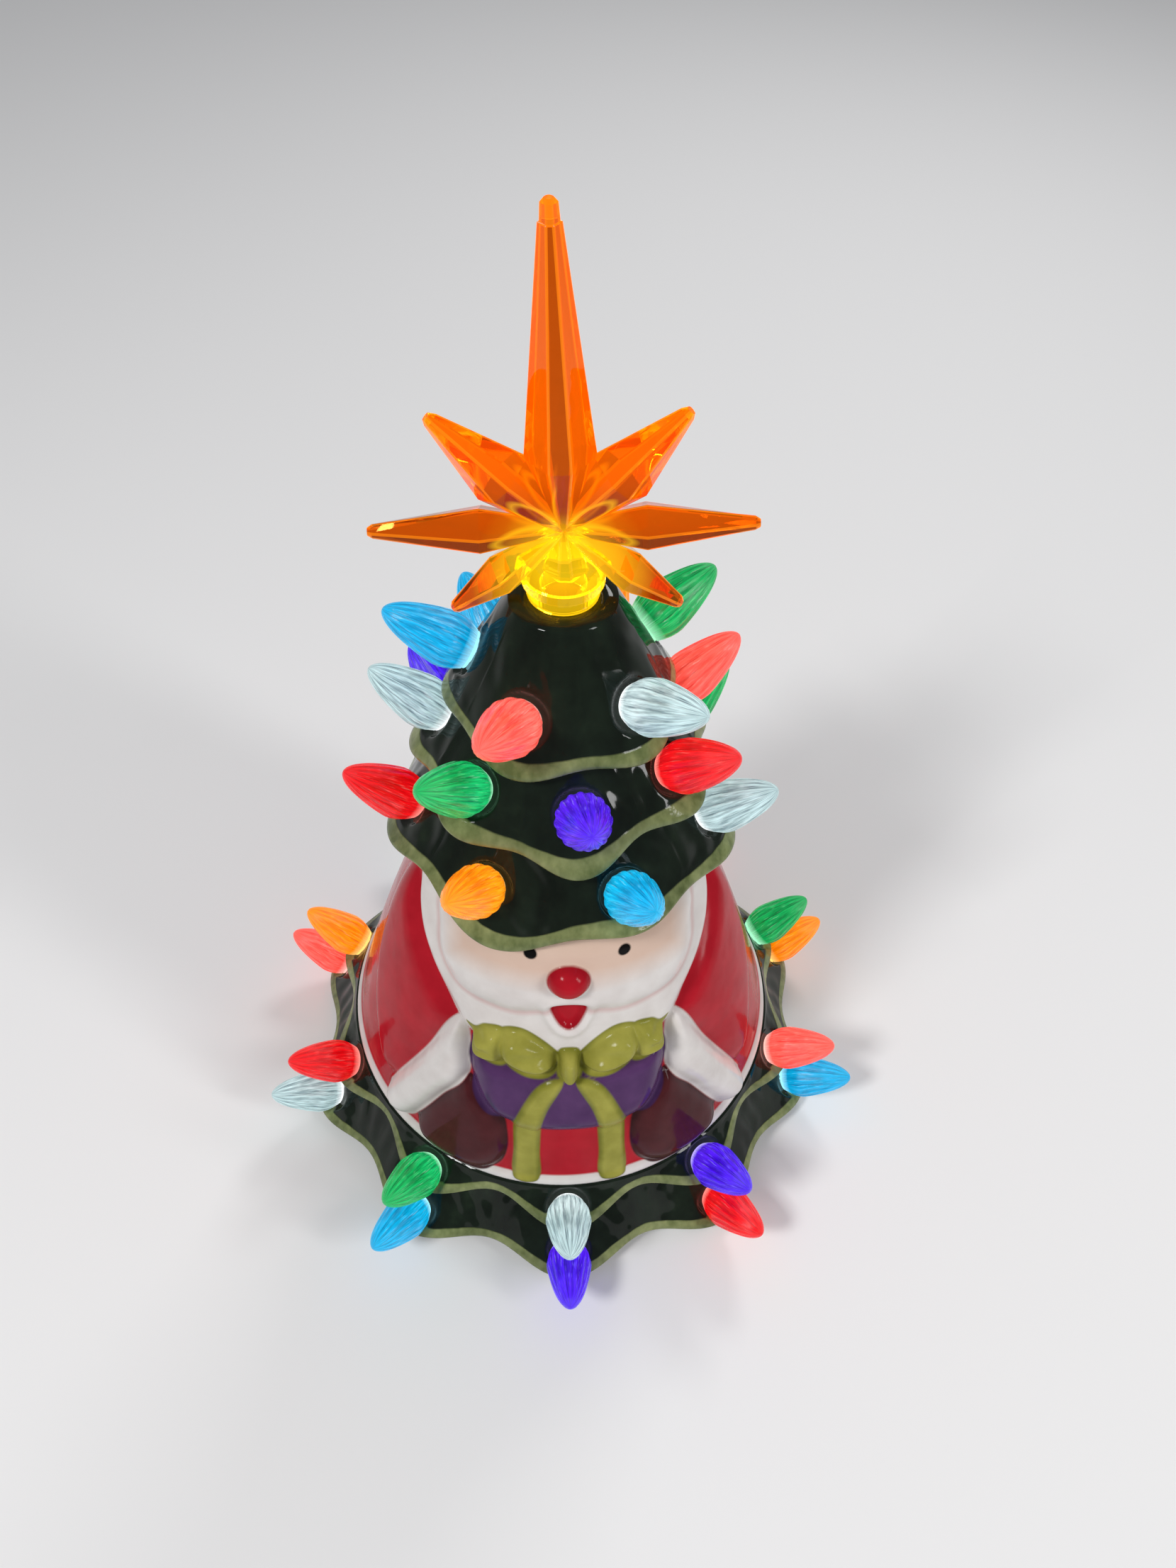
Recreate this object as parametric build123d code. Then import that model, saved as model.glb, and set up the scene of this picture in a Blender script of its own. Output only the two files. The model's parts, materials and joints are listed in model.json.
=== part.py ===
"""Lighted ceramic table tree: a figure whose hat is a three-tier tree, in a two-tier scalloped skirt.

Millimetres, +Z up, the figure looks along -Y, and the origin is under the middle of the foot pads.
Azimuths run from the front (-Y) towards +X.
"""

import os
from dataclasses import dataclass
from math import atan2, cos, radians, sin

from build123d import *

# Clearances
slip_gap = 0.3  # between pieces that lift, pull or slide apart
hinge_gap = 0.06  # round a turning pin
screw_gap = 0.1  # round a screw's shank
cut_past = 1.0  # how far a cut runs on past the face that it opens

# Ceramic walls
rim_wall = 3.0  # thickness of a scalloped rim
figure_wall = 5.0  # wall of the figure's hollow body

# Skirt that the figure stands in
skirt_lobes = 10
skirt_phase = 1.8
skirt_height = 30.0  # from its foot to the figure's seat
skirt_foot_width = 4.5  # foot ring, outwards from the plate's edge
skirt_ledge = 12.0  # seat ring, inwards from the figure's outside
skirt_crest = 1.3  # how far the seat stands out beyond the figure
upper_rim_out = 3.5  # upper rim's valleys, outwards from the figure
upper_rim_height = 25.0  # the same valleys, above the skirt's foot
upper_reach = 7.5  # how far the lobes stand out from the valleys
upper_droop = 4.5  # how far the lobes hang below the valleys
upper_seat_share = 0.62  # a bulb's seat, as a share of the way from the neck to the rim
upper_seat_tilt = 34.0  # a bulb's rise above the level, in degrees
lower_rim_out = 8.0  # lower rim's valleys, outwards from the upper ones
lower_rim_height = 7.5
lower_reach = 7.5
lower_droop = 4.0
lower_seat_share = 0.74
lower_seat_tilt = 28.0
skirt_roof = 6.0  # ceramic between the hollow and the figure's seat
skirt_hollow_step = 12.0  # height above the foot where the hollow narrows
skirt_hollow_out = 0.5  # hollow beyond the plate's rebate

# Figure
figure_foot_radius = 63.5
figure_top_radius = 31.0
figure_height = 96.0
figure_bulge = 1.8  # swell of the sides beyond a straight cone
collar_radius = 21.6  # spigot that the hat drops over
collar_height = 4.0
collar_bore = 16.0

# Figure's relief: heights above its foot, azimuths, half sizes, how far each form stands proud, and its roll
nose_height = 75.0
nose_radius = 5.0
head_height = 70.0
head_half_width = 38.0
head_half_height = 30.0
head_proud = 4.0
moustache_height = 72.0
moustache_azimuth = 22.0
moustache_half_width = 20.0
moustache_half_height = 7.5
moustache_proud = 5.0
moustache_roll = 14.0
sleeve_height = 56.0
sleeve_azimuth = 68.0
sleeve_half_width = 17.0
sleeve_half_height = 36.0
sleeve_proud = 3.0
sleeve_roll = -12.0
cuff_height = 38.0
cuff_azimuth = 47.0
cuff_half_width = 23.0
cuff_half_height = 8.5
cuff_proud = 4.0
cuff_roll = -28.0
mitten_height = 16.0
mitten_azimuth = 37.0
mitten_half_width = 19.0
mitten_half_height = 11.0
mitten_proud = 4.0
mitten_roll = -12.0
gift_height = 31.0
gift_half_width = 28.0
gift_half_height = 18.0
gift_proud = 6.0
knot_height = 51.5
knot_radius = 4.5
knot_proud = 4.0  # the knot's middle, out from the figure's side
bow_height = 52.5
bow_azimuth = 16.0
bow_half_width = 13.0
bow_half_height = 7.5
bow_proud = 7.0
bow_roll = 12.0
ribbon_height = 23.75
ribbon_azimuth = 8.5
ribbon_half_width = 4.4
ribbon_half_height = 25.0
ribbon_proud = 6.5
ribbon_roll = -3.0

# Tree hat
hat_height = 69.5
hat_top_radius = 11.5
hat_flange = 2.5  # ring that rests on the figure's head
hat_under_radius = 35.5
top_lobes = 5
top_phase = -24.4
top_rim_radius = 26.0
top_rim_height = 41.5  # valleys, above the hat's underside
top_reach = 2.5
top_droop = 2.5
top_seat_share = 0.62
top_seat_tilt = 28.0
mid_lobes = 7
mid_phase = 8.0
mid_neck_radius = 20.5
mid_rim_radius = 32.5
mid_rim_height = 24.5
mid_reach = 5.5
mid_droop = 7.0
mid_seat_share = 0.55
mid_seat_tilt = 40.0
low_lobes = 7
low_phase = -28.4
low_neck_radius = 27.5
low_rim_radius = 42.0
low_rim_height = -1.5
low_reach = 3.5
low_droop = 3.0
low_seat_share = 0.58
low_seat_tilt = 42.0
neck_overlap = 2.5  # how far a tier's neck runs up inside the tier above
neck_cover = 1.0  # how far the tier above comes down outside that neck
mid_wall = 7.0  # from the hollow out to the middle tier's neck
low_wall = 5.5  # the same at the low tier's neck

# Push-in bulbs
bulb_radius = 6.45
bulb_length = 22.0
bulb_rim_radius = 4.6
bulb_rim_height = 1.0
bulb_neck_step = 0.3  # the body is this much narrower than the rim that it rises from
bulb_belly = 0.32  # widest place, as a share of the length
bulb_shoulder, bulb_shoulder_width = 0.67, 0.75  # shares of the length and of the radius
bulb_nose, bulb_nose_width = 0.92, 0.35
peg_radius = 2.6
peg_length = 7.0
socket_length = 15.0  # drilled depth from a bulb's seat, through to the hollow
seat_sink = 1.4  # depth of a bulb's seat below the glaze
seat_margin = 1.2  # seat's radius beyond the bulb's rim

# Star
star_peg_radius = 5.0
star_peg_length = 9.0
star_bore = 3.0
star_bore_end = 4.0  # bore's end above the cup's underside
star_cup_radius = 8.4
star_cup_height = 6.0  # straight part of the cup's side
star_cup_edge = 1.5  # height of the bevel round the cup's underside
star_cup_edge_width = 1.0
star_cup_top = 1.5  # where the cup ends, below the star's centre
star_rise = 17.5  # centre of the star above the hat's top
star_inner_radius = 16.5  # valleys between the points
star_half_width = 7.1
star_half_depth = 5.8
star_flat = 0.3  # flat front and back of a point, as a share of its width
star_core = 0.3  # a point's section at the star's centre, as a share of the full one in the valleys
star_tip_half_width = 1.75
star_tip_half_depth = 1.45
star_lean = -2.3  # the points turn this far about the star's centre
spike_length = 64.5
side_length = 39.0
upper_length = 35.4
lower_length = 31.8
upper_turn = 43.0  # from the spike round to the upper points
side_turn = 90.0
lower_turn = 131.0
side_slimness = 0.7  # width of the side points against the spike
lower_slimness = 0.66

# Power pack under the figure
pad_thickness = 1.0
pad_radius = 5.0
pad_circle = 57.0
pad_count = 4
pad_turn = 45.0  # azimuth of the first pad
plate_thickness = 3.0
plate_radius = 66.7
plate_ledge = 3.2  # ring of ceramic that the plate's edge seats under
ledge_thickness = 2.0
cell_count = 3
cell_diameter = 14.2
cell_length = 48.6
cell_nub_radius = 2.75
cell_nub_length = 1.4
cell_gap = 0.4
leaf_thickness = 0.6
leaf_bump = 1.6
leaf_margin = 1.0  # a leaf's edges inside the cell's outline
box_wall = 1.6
ear_radius = 4.0
ear_height = 4.0
ear_sink = 1.2  # how far an ear's round runs into the box's side
ear_inset = 10.0  # ears' middles from the box's ends
screw_radius = 1.0
screw_head_radius = 2.0
screw_head_height = 1.3
hinge_pin_radius = 0.8
hinge_pin_length = 1.6
finger_notch_radius = 7.0
grip_radius = 5.0
switch_x = 45.0
switch_travel = 4.0
knob_length = 4.0
knob_width = 3.0
knob_flange = 1.0
switch_wall = 1.4
switch_height = 7.0

# Lamps
post_radius = 7.5
post_wall = 1.5
post_flange_radius = 13.0
post_flange = 2.0
post_screws = 3
post_rise = 31.0  # lamp post's top above the hat's underside
board_thickness = 1.6
hat_board_radius = 9.0
base_board_radius = 23.0
lamp_radius = 2.5
lamp_height = 8.0
lamp_margin = 0.5  # from a lamp to its board's edge
hat_lamps = 5
base_lamps = 8
lead_radius = 0.6
lead_spacing = 4.0

# Steps of a tier's loft
points_per_lobe = 8
loft_shares = (0, 0.35, 0.7, 1)  # from the neck to the rim

# Heights that follow
plate_top = pad_thickness + plate_thickness
foot_z = pad_thickness
figure_z = foot_z + skirt_height
hat_z = figure_z + figure_height
star_z = hat_z + hat_height
upper_rim_radius = figure_foot_radius + upper_rim_out
lower_rim_radius = upper_rim_radius + lower_rim_out
skirt_foot_radius = plate_radius + slip_gap + skirt_foot_width
skirt_hollow_radius = plate_radius + slip_gap + skirt_hollow_out
skirt_roof_z = figure_z - skirt_roof

# Power pack sizes that follow
box_inner_x = cell_count * (cell_diameter + cell_gap) + cell_gap
box_inner_y = cell_length + cell_nub_length + 2 * (leaf_thickness + leaf_bump)
box_outer_x = box_inner_x + 2 * box_wall
box_outer_y = box_inner_y + 2 * box_wall
cell_z = plate_top + slip_gap + cell_diameter / 2
box_ceiling = cell_z + cell_diameter / 2 + slip_gap
box_top = box_ceiling + box_wall
ear_x = box_outer_x / 2 + ear_radius - ear_sink
ear_y = box_outer_y / 2 - ear_inset
ear_places = [(x, y) for x in (-ear_x, ear_x) for y in (-ear_y, ear_y)]
hinge_y = box_inner_y / 2 - slip_gap - plate_thickness / 2
hinge_z = foot_z + plate_thickness / 2
door_half_x = box_inner_x / 2 - slip_gap
post_top = hat_z + post_rise
post_screw_circle = (post_radius + post_flange_radius) / 2


def polar(radius, azimuth, height):
    """A point at an azimuth in degrees from the front."""
    angle = radians(azimuth)
    return Vector(radius * sin(angle), -radius * cos(angle), height)


def upright(radius, bottom, top, x=0.0, y=0.0):
    """A vertical cylinder between two heights."""
    place = Pos(x, y, bottom)
    return place * Cylinder(radius, top - bottom, align=(Align.CENTER, Align.CENTER, Align.MIN))


def block(size_x, size_y, bottom, top, x=0.0, y=0.0):
    """A vertical block between two heights."""
    place = Pos(x, y, bottom)
    return place * Box(size_x, size_y, top - bottom, align=(Align.CENTER, Align.CENTER, Align.MIN))


def turned(*profile):
    """A solid turned about Z from (radius, height) corners."""
    return revolve(make_face(Polyline(*[(r, 0, z) for r, z in profile], close=True)), Axis.Z)


@dataclass
class Tier:
    """One flared tier: round at its neck, scalloped at its rim, with a bulb on every lobe."""

    name: str
    lobes: int
    phase: float
    neck_radius: float
    neck_z: float
    rim_radius: float
    reach: float
    rim_z: float
    droop: float
    under_radius: float
    under_z: float
    seat_share: float
    seat_tilt: float

    def ring(self, radius, height, reach=0.0, droop=0.0):
        """A closed ring: its lobes reach out of the radius and hang below the height."""
        count = self.lobes * points_per_lobe
        points = []
        for i in range(count):
            azimuth = 360 * i / count
            swell = (1 + cos(radians(self.lobes * (azimuth - self.phase)))) / 2
            points.append(polar(radius + reach * swell, azimuth, height - droop * swell))
        return Wire([Edge.make_spline(points, periodic=True)])

    def line(self, share):
        """Radius, height, reach and droop at a share of the way from the neck to the rim."""
        radius = self.neck_radius + (self.rim_radius - self.neck_radius) * share
        height = self.neck_z + (self.rim_z - self.neck_z) * share
        return radius, height, self.reach * share**2, self.droop * share**2

    def solid(self):
        rings = [self.ring(*self.line(share)) for share in loft_shares]
        rings.append(self.ring(self.rim_radius - rim_wall, self.rim_z, self.reach, self.droop))
        rings.append(self.ring(self.under_radius, self.under_z))
        return Solid.make_loft(rings, ruled=True)

    def seats(self):
        """A plane per bulb: its origin on the seat, its Z along the bulb, outwards and up."""
        radius, height, reach, droop = self.line(self.seat_share)
        planes = []
        for i in range(self.lobes):
            azimuth = self.phase + 360 * i / self.lobes
            flat = polar(1, azimuth, 0)
            axis = flat * cos(radians(self.seat_tilt)) + Vector(0, 0, sin(radians(self.seat_tilt)))
            origin = polar(radius + reach, azimuth, height - droop) - axis * seat_sink
            planes.append(Plane(origin, x_dir=polar(1, azimuth + 90, 0), z_dir=axis))
        return planes

    def sockets(self):
        """What is drilled out for the bulbs: a flat seat and a through hole for the peg."""
        seat = upright(bulb_rim_radius + seat_margin, 0, bulb_rim_radius)
        hole = upright(peg_radius + slip_gap, -socket_length, 0)
        return [plane * tool for plane in self.seats() for tool in (seat, hole)]


skirt_upper = Tier(
    "base_upper", skirt_lobes, skirt_phase,
    neck_radius=figure_foot_radius + skirt_crest, neck_z=figure_z,
    rim_radius=upper_rim_radius, reach=upper_reach, rim_z=foot_z + upper_rim_height, droop=upper_droop,
    under_radius=figure_foot_radius, under_z=foot_z + upper_rim_height - upper_droop / 2,
    seat_share=upper_seat_share, seat_tilt=upper_seat_tilt,
)
skirt_lower = Tier(
    "base_lower", skirt_lobes, skirt_phase,
    neck_radius=figure_foot_radius, neck_z=foot_z + upper_rim_height,
    rim_radius=lower_rim_radius, reach=lower_reach, rim_z=foot_z + lower_rim_height, droop=lower_droop,
    under_radius=skirt_foot_radius, under_z=foot_z,
    seat_share=lower_seat_share, seat_tilt=lower_seat_tilt,
)
hat_top = Tier(
    "hat_top", top_lobes, top_phase,
    neck_radius=hat_top_radius, neck_z=star_z,
    rim_radius=top_rim_radius, reach=top_reach, rim_z=hat_z + top_rim_height, droop=top_droop,
    under_radius=mid_neck_radius + neck_cover, under_z=hat_z + top_rim_height - top_droop,
    seat_share=top_seat_share, seat_tilt=top_seat_tilt,
)
hat_mid = Tier(
    "hat_mid", mid_lobes, mid_phase,
    neck_radius=mid_neck_radius, neck_z=hat_top.under_z + neck_overlap,
    rim_radius=mid_rim_radius, reach=mid_reach, rim_z=hat_z + mid_rim_height, droop=mid_droop,
    under_radius=low_neck_radius + neck_cover, under_z=hat_z + mid_rim_height - mid_droop / 2,
    seat_share=mid_seat_share, seat_tilt=mid_seat_tilt,
)
hat_low = Tier(
    "hat_low", low_lobes, low_phase,
    neck_radius=low_neck_radius, neck_z=hat_mid.under_z + neck_overlap,
    rim_radius=low_rim_radius, reach=low_reach, rim_z=hat_z + low_rim_height, droop=low_droop,
    under_radius=hat_under_radius, under_z=hat_z,
    seat_share=low_seat_share, seat_tilt=low_seat_tilt,
)
hat_tiers = (hat_top, hat_mid, hat_low)
skirt_tiers = (skirt_upper, skirt_lower)


def base_skirt():
    """Hollow skirt: seat for the figure on top, rebate for the plate underneath."""
    body = skirt_upper.solid() + skirt_lower.solid()
    ledge_top = plate_top + ledge_thickness
    step_z = foot_z + skirt_hollow_step
    neck = figure_foot_radius - figure_wall
    mouth = figure_foot_radius - skirt_ledge
    rebate = plate_radius + slip_gap
    hollow = turned(
        (0, 0), (rebate, 0), (rebate, plate_top), (plate_radius - plate_ledge, plate_top),
        (plate_radius - plate_ledge, ledge_top), (skirt_hollow_radius, ledge_top),
        (skirt_hollow_radius, step_z), (neck, skirt_roof_z), (mouth, skirt_roof_z),
        (mouth, figure_z + cut_past), (0, figure_z + cut_past),
    )
    tools = [hollow]
    for tier in skirt_tiers:
        tools += tier.sockets()
    return body - tools


def figure_radius(height):
    """Radius of the figure's plain outside at a height above its foot."""
    share = height / figure_height
    straight = figure_foot_radius + (figure_top_radius - figure_foot_radius) * share
    return straight + 4 * figure_bulge * share * (1 - share)


def figure_profile(inset, bottom, top):
    """Face under the figure's outline, moved in by a wall, from one height to another."""
    middle = (bottom + top) / 2
    low, high = figure_radius(bottom) - inset, figure_radius(top) - inset
    control = 2 * (figure_radius(middle) - inset) - (low + high) / 2
    side = Bezier((low, 0, bottom), (control, 0, middle), (high, 0, top))
    rest = Polyline((high, 0, top), (0, 0, top), (0, 0, bottom), (low, 0, bottom))
    return make_face([side, *rest.edges()])


def on_figure(azimuth, height, roll=0.0):
    """Place on the figure's outside: X to the viewer's right, Y up the slope, Z outwards."""
    slope = atan2(figure_foot_radius - figure_top_radius, figure_height)
    outwards = polar(cos(slope), azimuth, sin(slope))
    plane = Plane(polar(figure_radius(height), azimuth, height), polar(1, azimuth + 90, 0), outwards)
    return plane * Rot(0, 0, roll)


def swelling(azimuth, height, half_width, half_height, proud, roll=0.0):
    """A rounded form that stands proud of the figure's outside."""
    half_depth = 2 * proud
    form = scale(Sphere(1), by=(half_width, half_height, half_depth))
    return on_figure(azimuth, height, roll) * Pos(0, 0, proud - half_depth) * form


def santa_body():
    """Hollow figure with its relief, and the spigot that carries the hat."""
    body = revolve(figure_profile(0, 0, figure_height), Axis.Z)
    relief = [
        on_figure(0, nose_height) * Sphere(nose_radius),
        swelling(0, head_height, head_half_width, head_half_height, head_proud),
        swelling(0, gift_height, gift_half_width, gift_half_height, gift_proud),
        on_figure(0, knot_height) * Pos(0, 0, knot_proud) * Sphere(knot_radius),
    ]
    pairs = [
        (moustache_azimuth, moustache_height, moustache_half_width, moustache_half_height, moustache_proud,
         moustache_roll),
        (sleeve_azimuth, sleeve_height, sleeve_half_width, sleeve_half_height, sleeve_proud, sleeve_roll),
        (cuff_azimuth, cuff_height, cuff_half_width, cuff_half_height, cuff_proud, cuff_roll),
        (mitten_azimuth, mitten_height, mitten_half_width, mitten_half_height, mitten_proud, mitten_roll),
        (bow_azimuth, bow_height, bow_half_width, bow_half_height, bow_proud, bow_roll),
        (ribbon_azimuth, ribbon_height, ribbon_half_width, ribbon_half_height, ribbon_proud, ribbon_roll),
    ]
    for azimuth, *sizes, roll in pairs:
        relief += [swelling(side * azimuth, *sizes, side * roll) for side in (-1, 1)]
    body = body + relief
    around = 4 * figure_foot_radius
    body -= [
        block(around, around, -figure_height, 0),
        block(around, around, figure_height, 2 * figure_height),
    ]
    body += upright(collar_radius, 0, figure_height + collar_height)
    hollow_top = figure_height - figure_wall
    body -= revolve(figure_profile(figure_wall, -cut_past, hollow_top), Axis.Z)
    body -= upright(collar_bore, 0, figure_height + 2 * collar_height)
    return Pos(0, 0, figure_z) * body


def tree_hat():
    """Hollow tree: three tiers, a resting flange inside, and a hole on top for the star."""
    body = hat_top.solid() + [hat_mid.solid(), hat_low.solid()]
    bore = collar_radius + slip_gap
    flange_top = hat_z + hat_flange
    star_hole = star_peg_radius + slip_gap
    hollow = turned(
        (0, hat_z - cut_past), (bore, hat_z - cut_past), (bore, flange_top),
        (hat_under_radius - figure_wall, flange_top),
        (low_neck_radius - low_wall, hat_low.neck_z), (mid_neck_radius - mid_wall, hat_mid.neck_z),
        (star_hole, star_z - star_peg_length + slip_gap), (star_hole, star_z + cut_past),
        (0, star_z + cut_past),
    )
    tools = [hollow]
    for tier in hat_tiers:
        tools += tier.sockets()
    return body - tools


def bulb():
    """Push-in bulb: peg, rim, and a drawn-out body with a soft point."""
    neck_radius = bulb_rim_radius - bulb_neck_step
    side = Spline(
        (neck_radius, 0, bulb_rim_height),
        (bulb_radius, 0, bulb_length * bulb_belly),
        (bulb_radius * bulb_shoulder_width, 0, bulb_length * bulb_shoulder),
        (bulb_radius * bulb_nose_width, 0, bulb_length * bulb_nose),
        (0, 0, bulb_length),
        tangents=[(0.5, 0, 1), (-1, 0, 0)],
    )
    rest = Polyline(
        (0, 0, bulb_length), (0, 0, -peg_length),
        (peg_radius, 0, -peg_length), (peg_radius, 0, slip_gap), (bulb_rim_radius, 0, slip_gap),
        (bulb_rim_radius, 0, bulb_rim_height), (neck_radius, 0, bulb_rim_height),
    )
    return revolve(make_face([side, *rest.edges()]), Axis.Z)


def star_point(turn, length, slimness=1.0):
    """One tapered point with a flat front and back and bevelled flanks, pointing up before its turn."""
    waist = star_half_width * slimness
    sizes = [
        (star_core * waist, star_core * star_half_depth, 0),
        (waist, star_half_depth, star_inner_radius),
        (star_tip_half_width, star_tip_half_depth, length),
    ]
    sections = []
    for half_width, half_depth, rise in sizes:
        flat = star_flat * half_width
        corners = [
            (half_width, 0), (flat, half_depth), (-flat, half_depth),
            (-half_width, 0), (-flat, -half_depth), (flat, -half_depth),
        ]
        sections.append(Wire.make_polygon([(x, y, rise) for x, y in corners]))
    return Rot(0, turn + star_lean, 0) * Solid.make_loft(sections, ruled=True)


def star_topper():
    """Clear star: seven points and a round cup whose peg drops into the hat."""
    points = [star_point(0, spike_length)]
    for side in (-1, 1):
        points += [
            star_point(side * upper_turn, upper_length),
            star_point(side * side_turn, side_length, side_slimness),
            star_point(side * lower_turn, lower_length, lower_slimness),
        ]
    cup_bottom = slip_gap - star_rise
    cup = turned(
        (0, cup_bottom), (star_cup_radius - star_cup_edge_width, cup_bottom),
        (star_cup_radius, cup_bottom + star_cup_edge), (star_cup_radius, cup_bottom + star_cup_height),
        (star_half_depth, -star_cup_top), (0, -star_cup_top),
    )
    peg = upright(star_peg_radius, -star_rise - star_peg_length + 2 * slip_gap, cup_bottom)
    star = points[0] + [*points[1:], cup, peg]
    star -= upright(star_bore, -star_rise - star_peg_length, cup_bottom + star_bore_end)
    return Pos(0, 0, star_z + star_rise) * star


def bottom_plate():
    """Round plate that closes the skirt and carries the power pack."""
    plate = upright(plate_radius, foot_z, plate_top)
    window = block(box_inner_x, box_inner_y, 0, plate_top + cut_past)
    notch = upright(finger_notch_radius, 0, foot_z + plate_thickness / 2, y=-box_inner_y / 2)
    pin_bore = Pos(0, hinge_y, hinge_z) * Rot(0, 90, 0) * Cylinder(
        hinge_pin_radius + hinge_gap, 2 * (door_half_x + hinge_pin_length + slip_gap)
    )
    slot = block(
        knob_width + 2 * slip_gap, knob_length + switch_travel + 2 * slip_gap, 0, plate_top + cut_past,
        x=switch_x, y=switch_travel / 2,
    )
    holes = [upright(screw_radius + screw_gap, 0, plate_top + cut_past, x, y) for x, y in ear_places]
    return plate - [window, notch, pin_bore, slot, *holes]


def battery_door():
    """Door flush in the plate, turning on two stub pins at its rounded rear edge."""
    front_y = -box_inner_y / 2 + slip_gap
    leaf = block(2 * door_half_x, hinge_y - front_y, foot_z, plate_top, y=(hinge_y + front_y) / 2)
    along_x = Pos(0, hinge_y, hinge_z) * Rot(0, 90, 0)
    knuckle = along_x * Cylinder(plate_thickness / 2, 2 * door_half_x)
    pins = along_x * Cylinder(hinge_pin_radius, 2 * (door_half_x + hinge_pin_length))
    grip = upright(grip_radius, foot_z - cut_past, foot_z + plate_thickness / 3, y=front_y)
    return leaf + [knuckle, pins] - grip


def battery_box():
    """Box over the cells, with ears that are screwed to the plate."""
    box = block(box_outer_x, box_outer_y, plate_top, box_top)
    ears = [upright(ear_radius, plate_top, plate_top + ear_height, x, y) for x, y in ear_places]
    inside = block(box_inner_x, box_inner_y, plate_top - cut_past, box_ceiling)
    hole = screw_radius + screw_gap
    holes = [upright(hole, plate_top, plate_top + ear_height, x, y) for x, y in ear_places]
    pilots = [upright(hole, box_ceiling, box_top, p.X, p.Y) for p in post_screw_places()]
    return box + ears - [inside, *holes, *pilots]


def post_screw_places():
    return [polar(post_screw_circle, 360 * i / post_screws, 0) for i in range(post_screws)]


def cell_rows():
    """Each cell's X, and the way that its nub points along Y."""
    pitch = cell_diameter + cell_gap
    return [((i - (cell_count - 1) / 2) * pitch, 1 if i % 2 else -1) for i in range(cell_count)]


def aa_cells():
    """Round cells side by side, alternate ways round."""
    cells = []
    for x, way in cell_rows():
        can = Cylinder(cell_diameter / 2, cell_length)
        nub = Pos(0, 0, (cell_length + cell_nub_length) / 2) * Cylinder(cell_nub_radius, cell_nub_length)
        whole = Pos(0, 0, -cell_nub_length / 2) * (can + nub)
        cells.append(Pos(x, 0, cell_z) * Rot(-90 * way, 0, 0) * whole)
    return cells


def battery_contacts():
    """A spring leaf at both ends of each cell, with a bump that meets it."""
    leaves = []
    side = cell_diameter - 2 * leaf_margin
    for x, _ in cell_rows():
        for end in (-1, 1):
            leaf = Box(side, leaf_thickness, side)
            bump_y = -end * (leaf_thickness + leaf_bump) / 2
            bump = Pos(0, bump_y, 0) * Rot(90, 0, 0) * Cylinder(cell_nub_radius, leaf_bump)
            place = Pos(x, end * (box_inner_y - leaf_thickness) / 2, cell_z)
            leaves.append(place * (leaf + bump))
    return leaves


def screw(head_bottom, shank_length, x, y):
    """Pan-head screw standing on its point."""
    shank = upright(screw_radius, head_bottom - shank_length, head_bottom, x, y)
    return shank + upright(screw_head_radius, head_bottom, head_bottom + screw_head_height, x, y)


def knob_space(grow):
    """Room for the switch knob's flange inside the switch, grown on each side."""
    flange = knob_flange + grow
    return knob_width + 2 * flange, knob_length + switch_travel + 2 * flange


def switch_body():
    """Slide switch standing on the plate, open below for its knob."""
    room_x, room_y = knob_space(slip_gap)
    centre = {"x": switch_x, "y": switch_travel / 2}
    case_x, case_y = room_x + 2 * switch_wall, room_y + 2 * switch_wall
    case = block(case_x, case_y, plate_top, plate_top + switch_height, **centre)
    return case - block(room_x, room_y, plate_top, plate_top + knob_flange + 3 * slip_gap, **centre)


def switch_slider():
    """Knob in the plate's slot, with a flange above the plate that keeps it there."""
    knob = block(knob_width, knob_length, foot_z + slip_gap, plate_top + slip_gap, x=switch_x)
    flange_bottom = plate_top + slip_gap
    flange_x, flange_y = knob_width + 2 * knob_flange, knob_length + 2 * knob_flange
    return knob + block(flange_x, flange_y, flange_bottom, flange_bottom + knob_flange, x=switch_x)


def lamp_post():
    """Tube that carries the upper lamps, screwed to the battery box by its flange."""
    flange_top = box_top + post_flange
    post = upright(post_radius, box_top, post_top) + upright(post_flange_radius, box_top, flange_top)
    hole = screw_radius + screw_gap
    holes = [upright(hole, box_top, flange_top, p.X, p.Y) for p in post_screw_places()]
    return post - [upright(post_radius - post_wall, box_top, post_top), *holes]


def lamp(bottom, place):
    """Round-nosed lamp standing on its board."""
    shoulder = bottom + lamp_height - lamp_radius
    body = upright(lamp_radius, bottom, shoulder, place.X, place.Y)
    return body + Pos(place.X, place.Y, shoulder) * Sphere(lamp_radius)


def hat_leds():
    circle = hat_board_radius - lamp_radius - lamp_margin
    places = [Vector(0, 0, 0)] if circle > 2 * lamp_radius + slip_gap else []
    places += [polar(circle, 360 * i / hat_lamps, 0) for i in range(hat_lamps)]
    return [lamp(post_top + board_thickness, place) for place in places]


def base_board_inner():
    return post_flange_radius + slip_gap


def base_leds():
    circle = (base_board_inner() + base_board_radius) / 2
    places = [polar(circle, 360 * (i + 0.5) / base_lamps, 0) for i in range(base_lamps)]
    return [lamp(box_top + board_thickness, place) for place in places]


def led_leads():
    """Two leads inside the post, from the box's roof to the upper board."""
    return [upright(lead_radius, box_top, post_top, x=side * lead_spacing / 2) for side in (-1, 1)]


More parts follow.
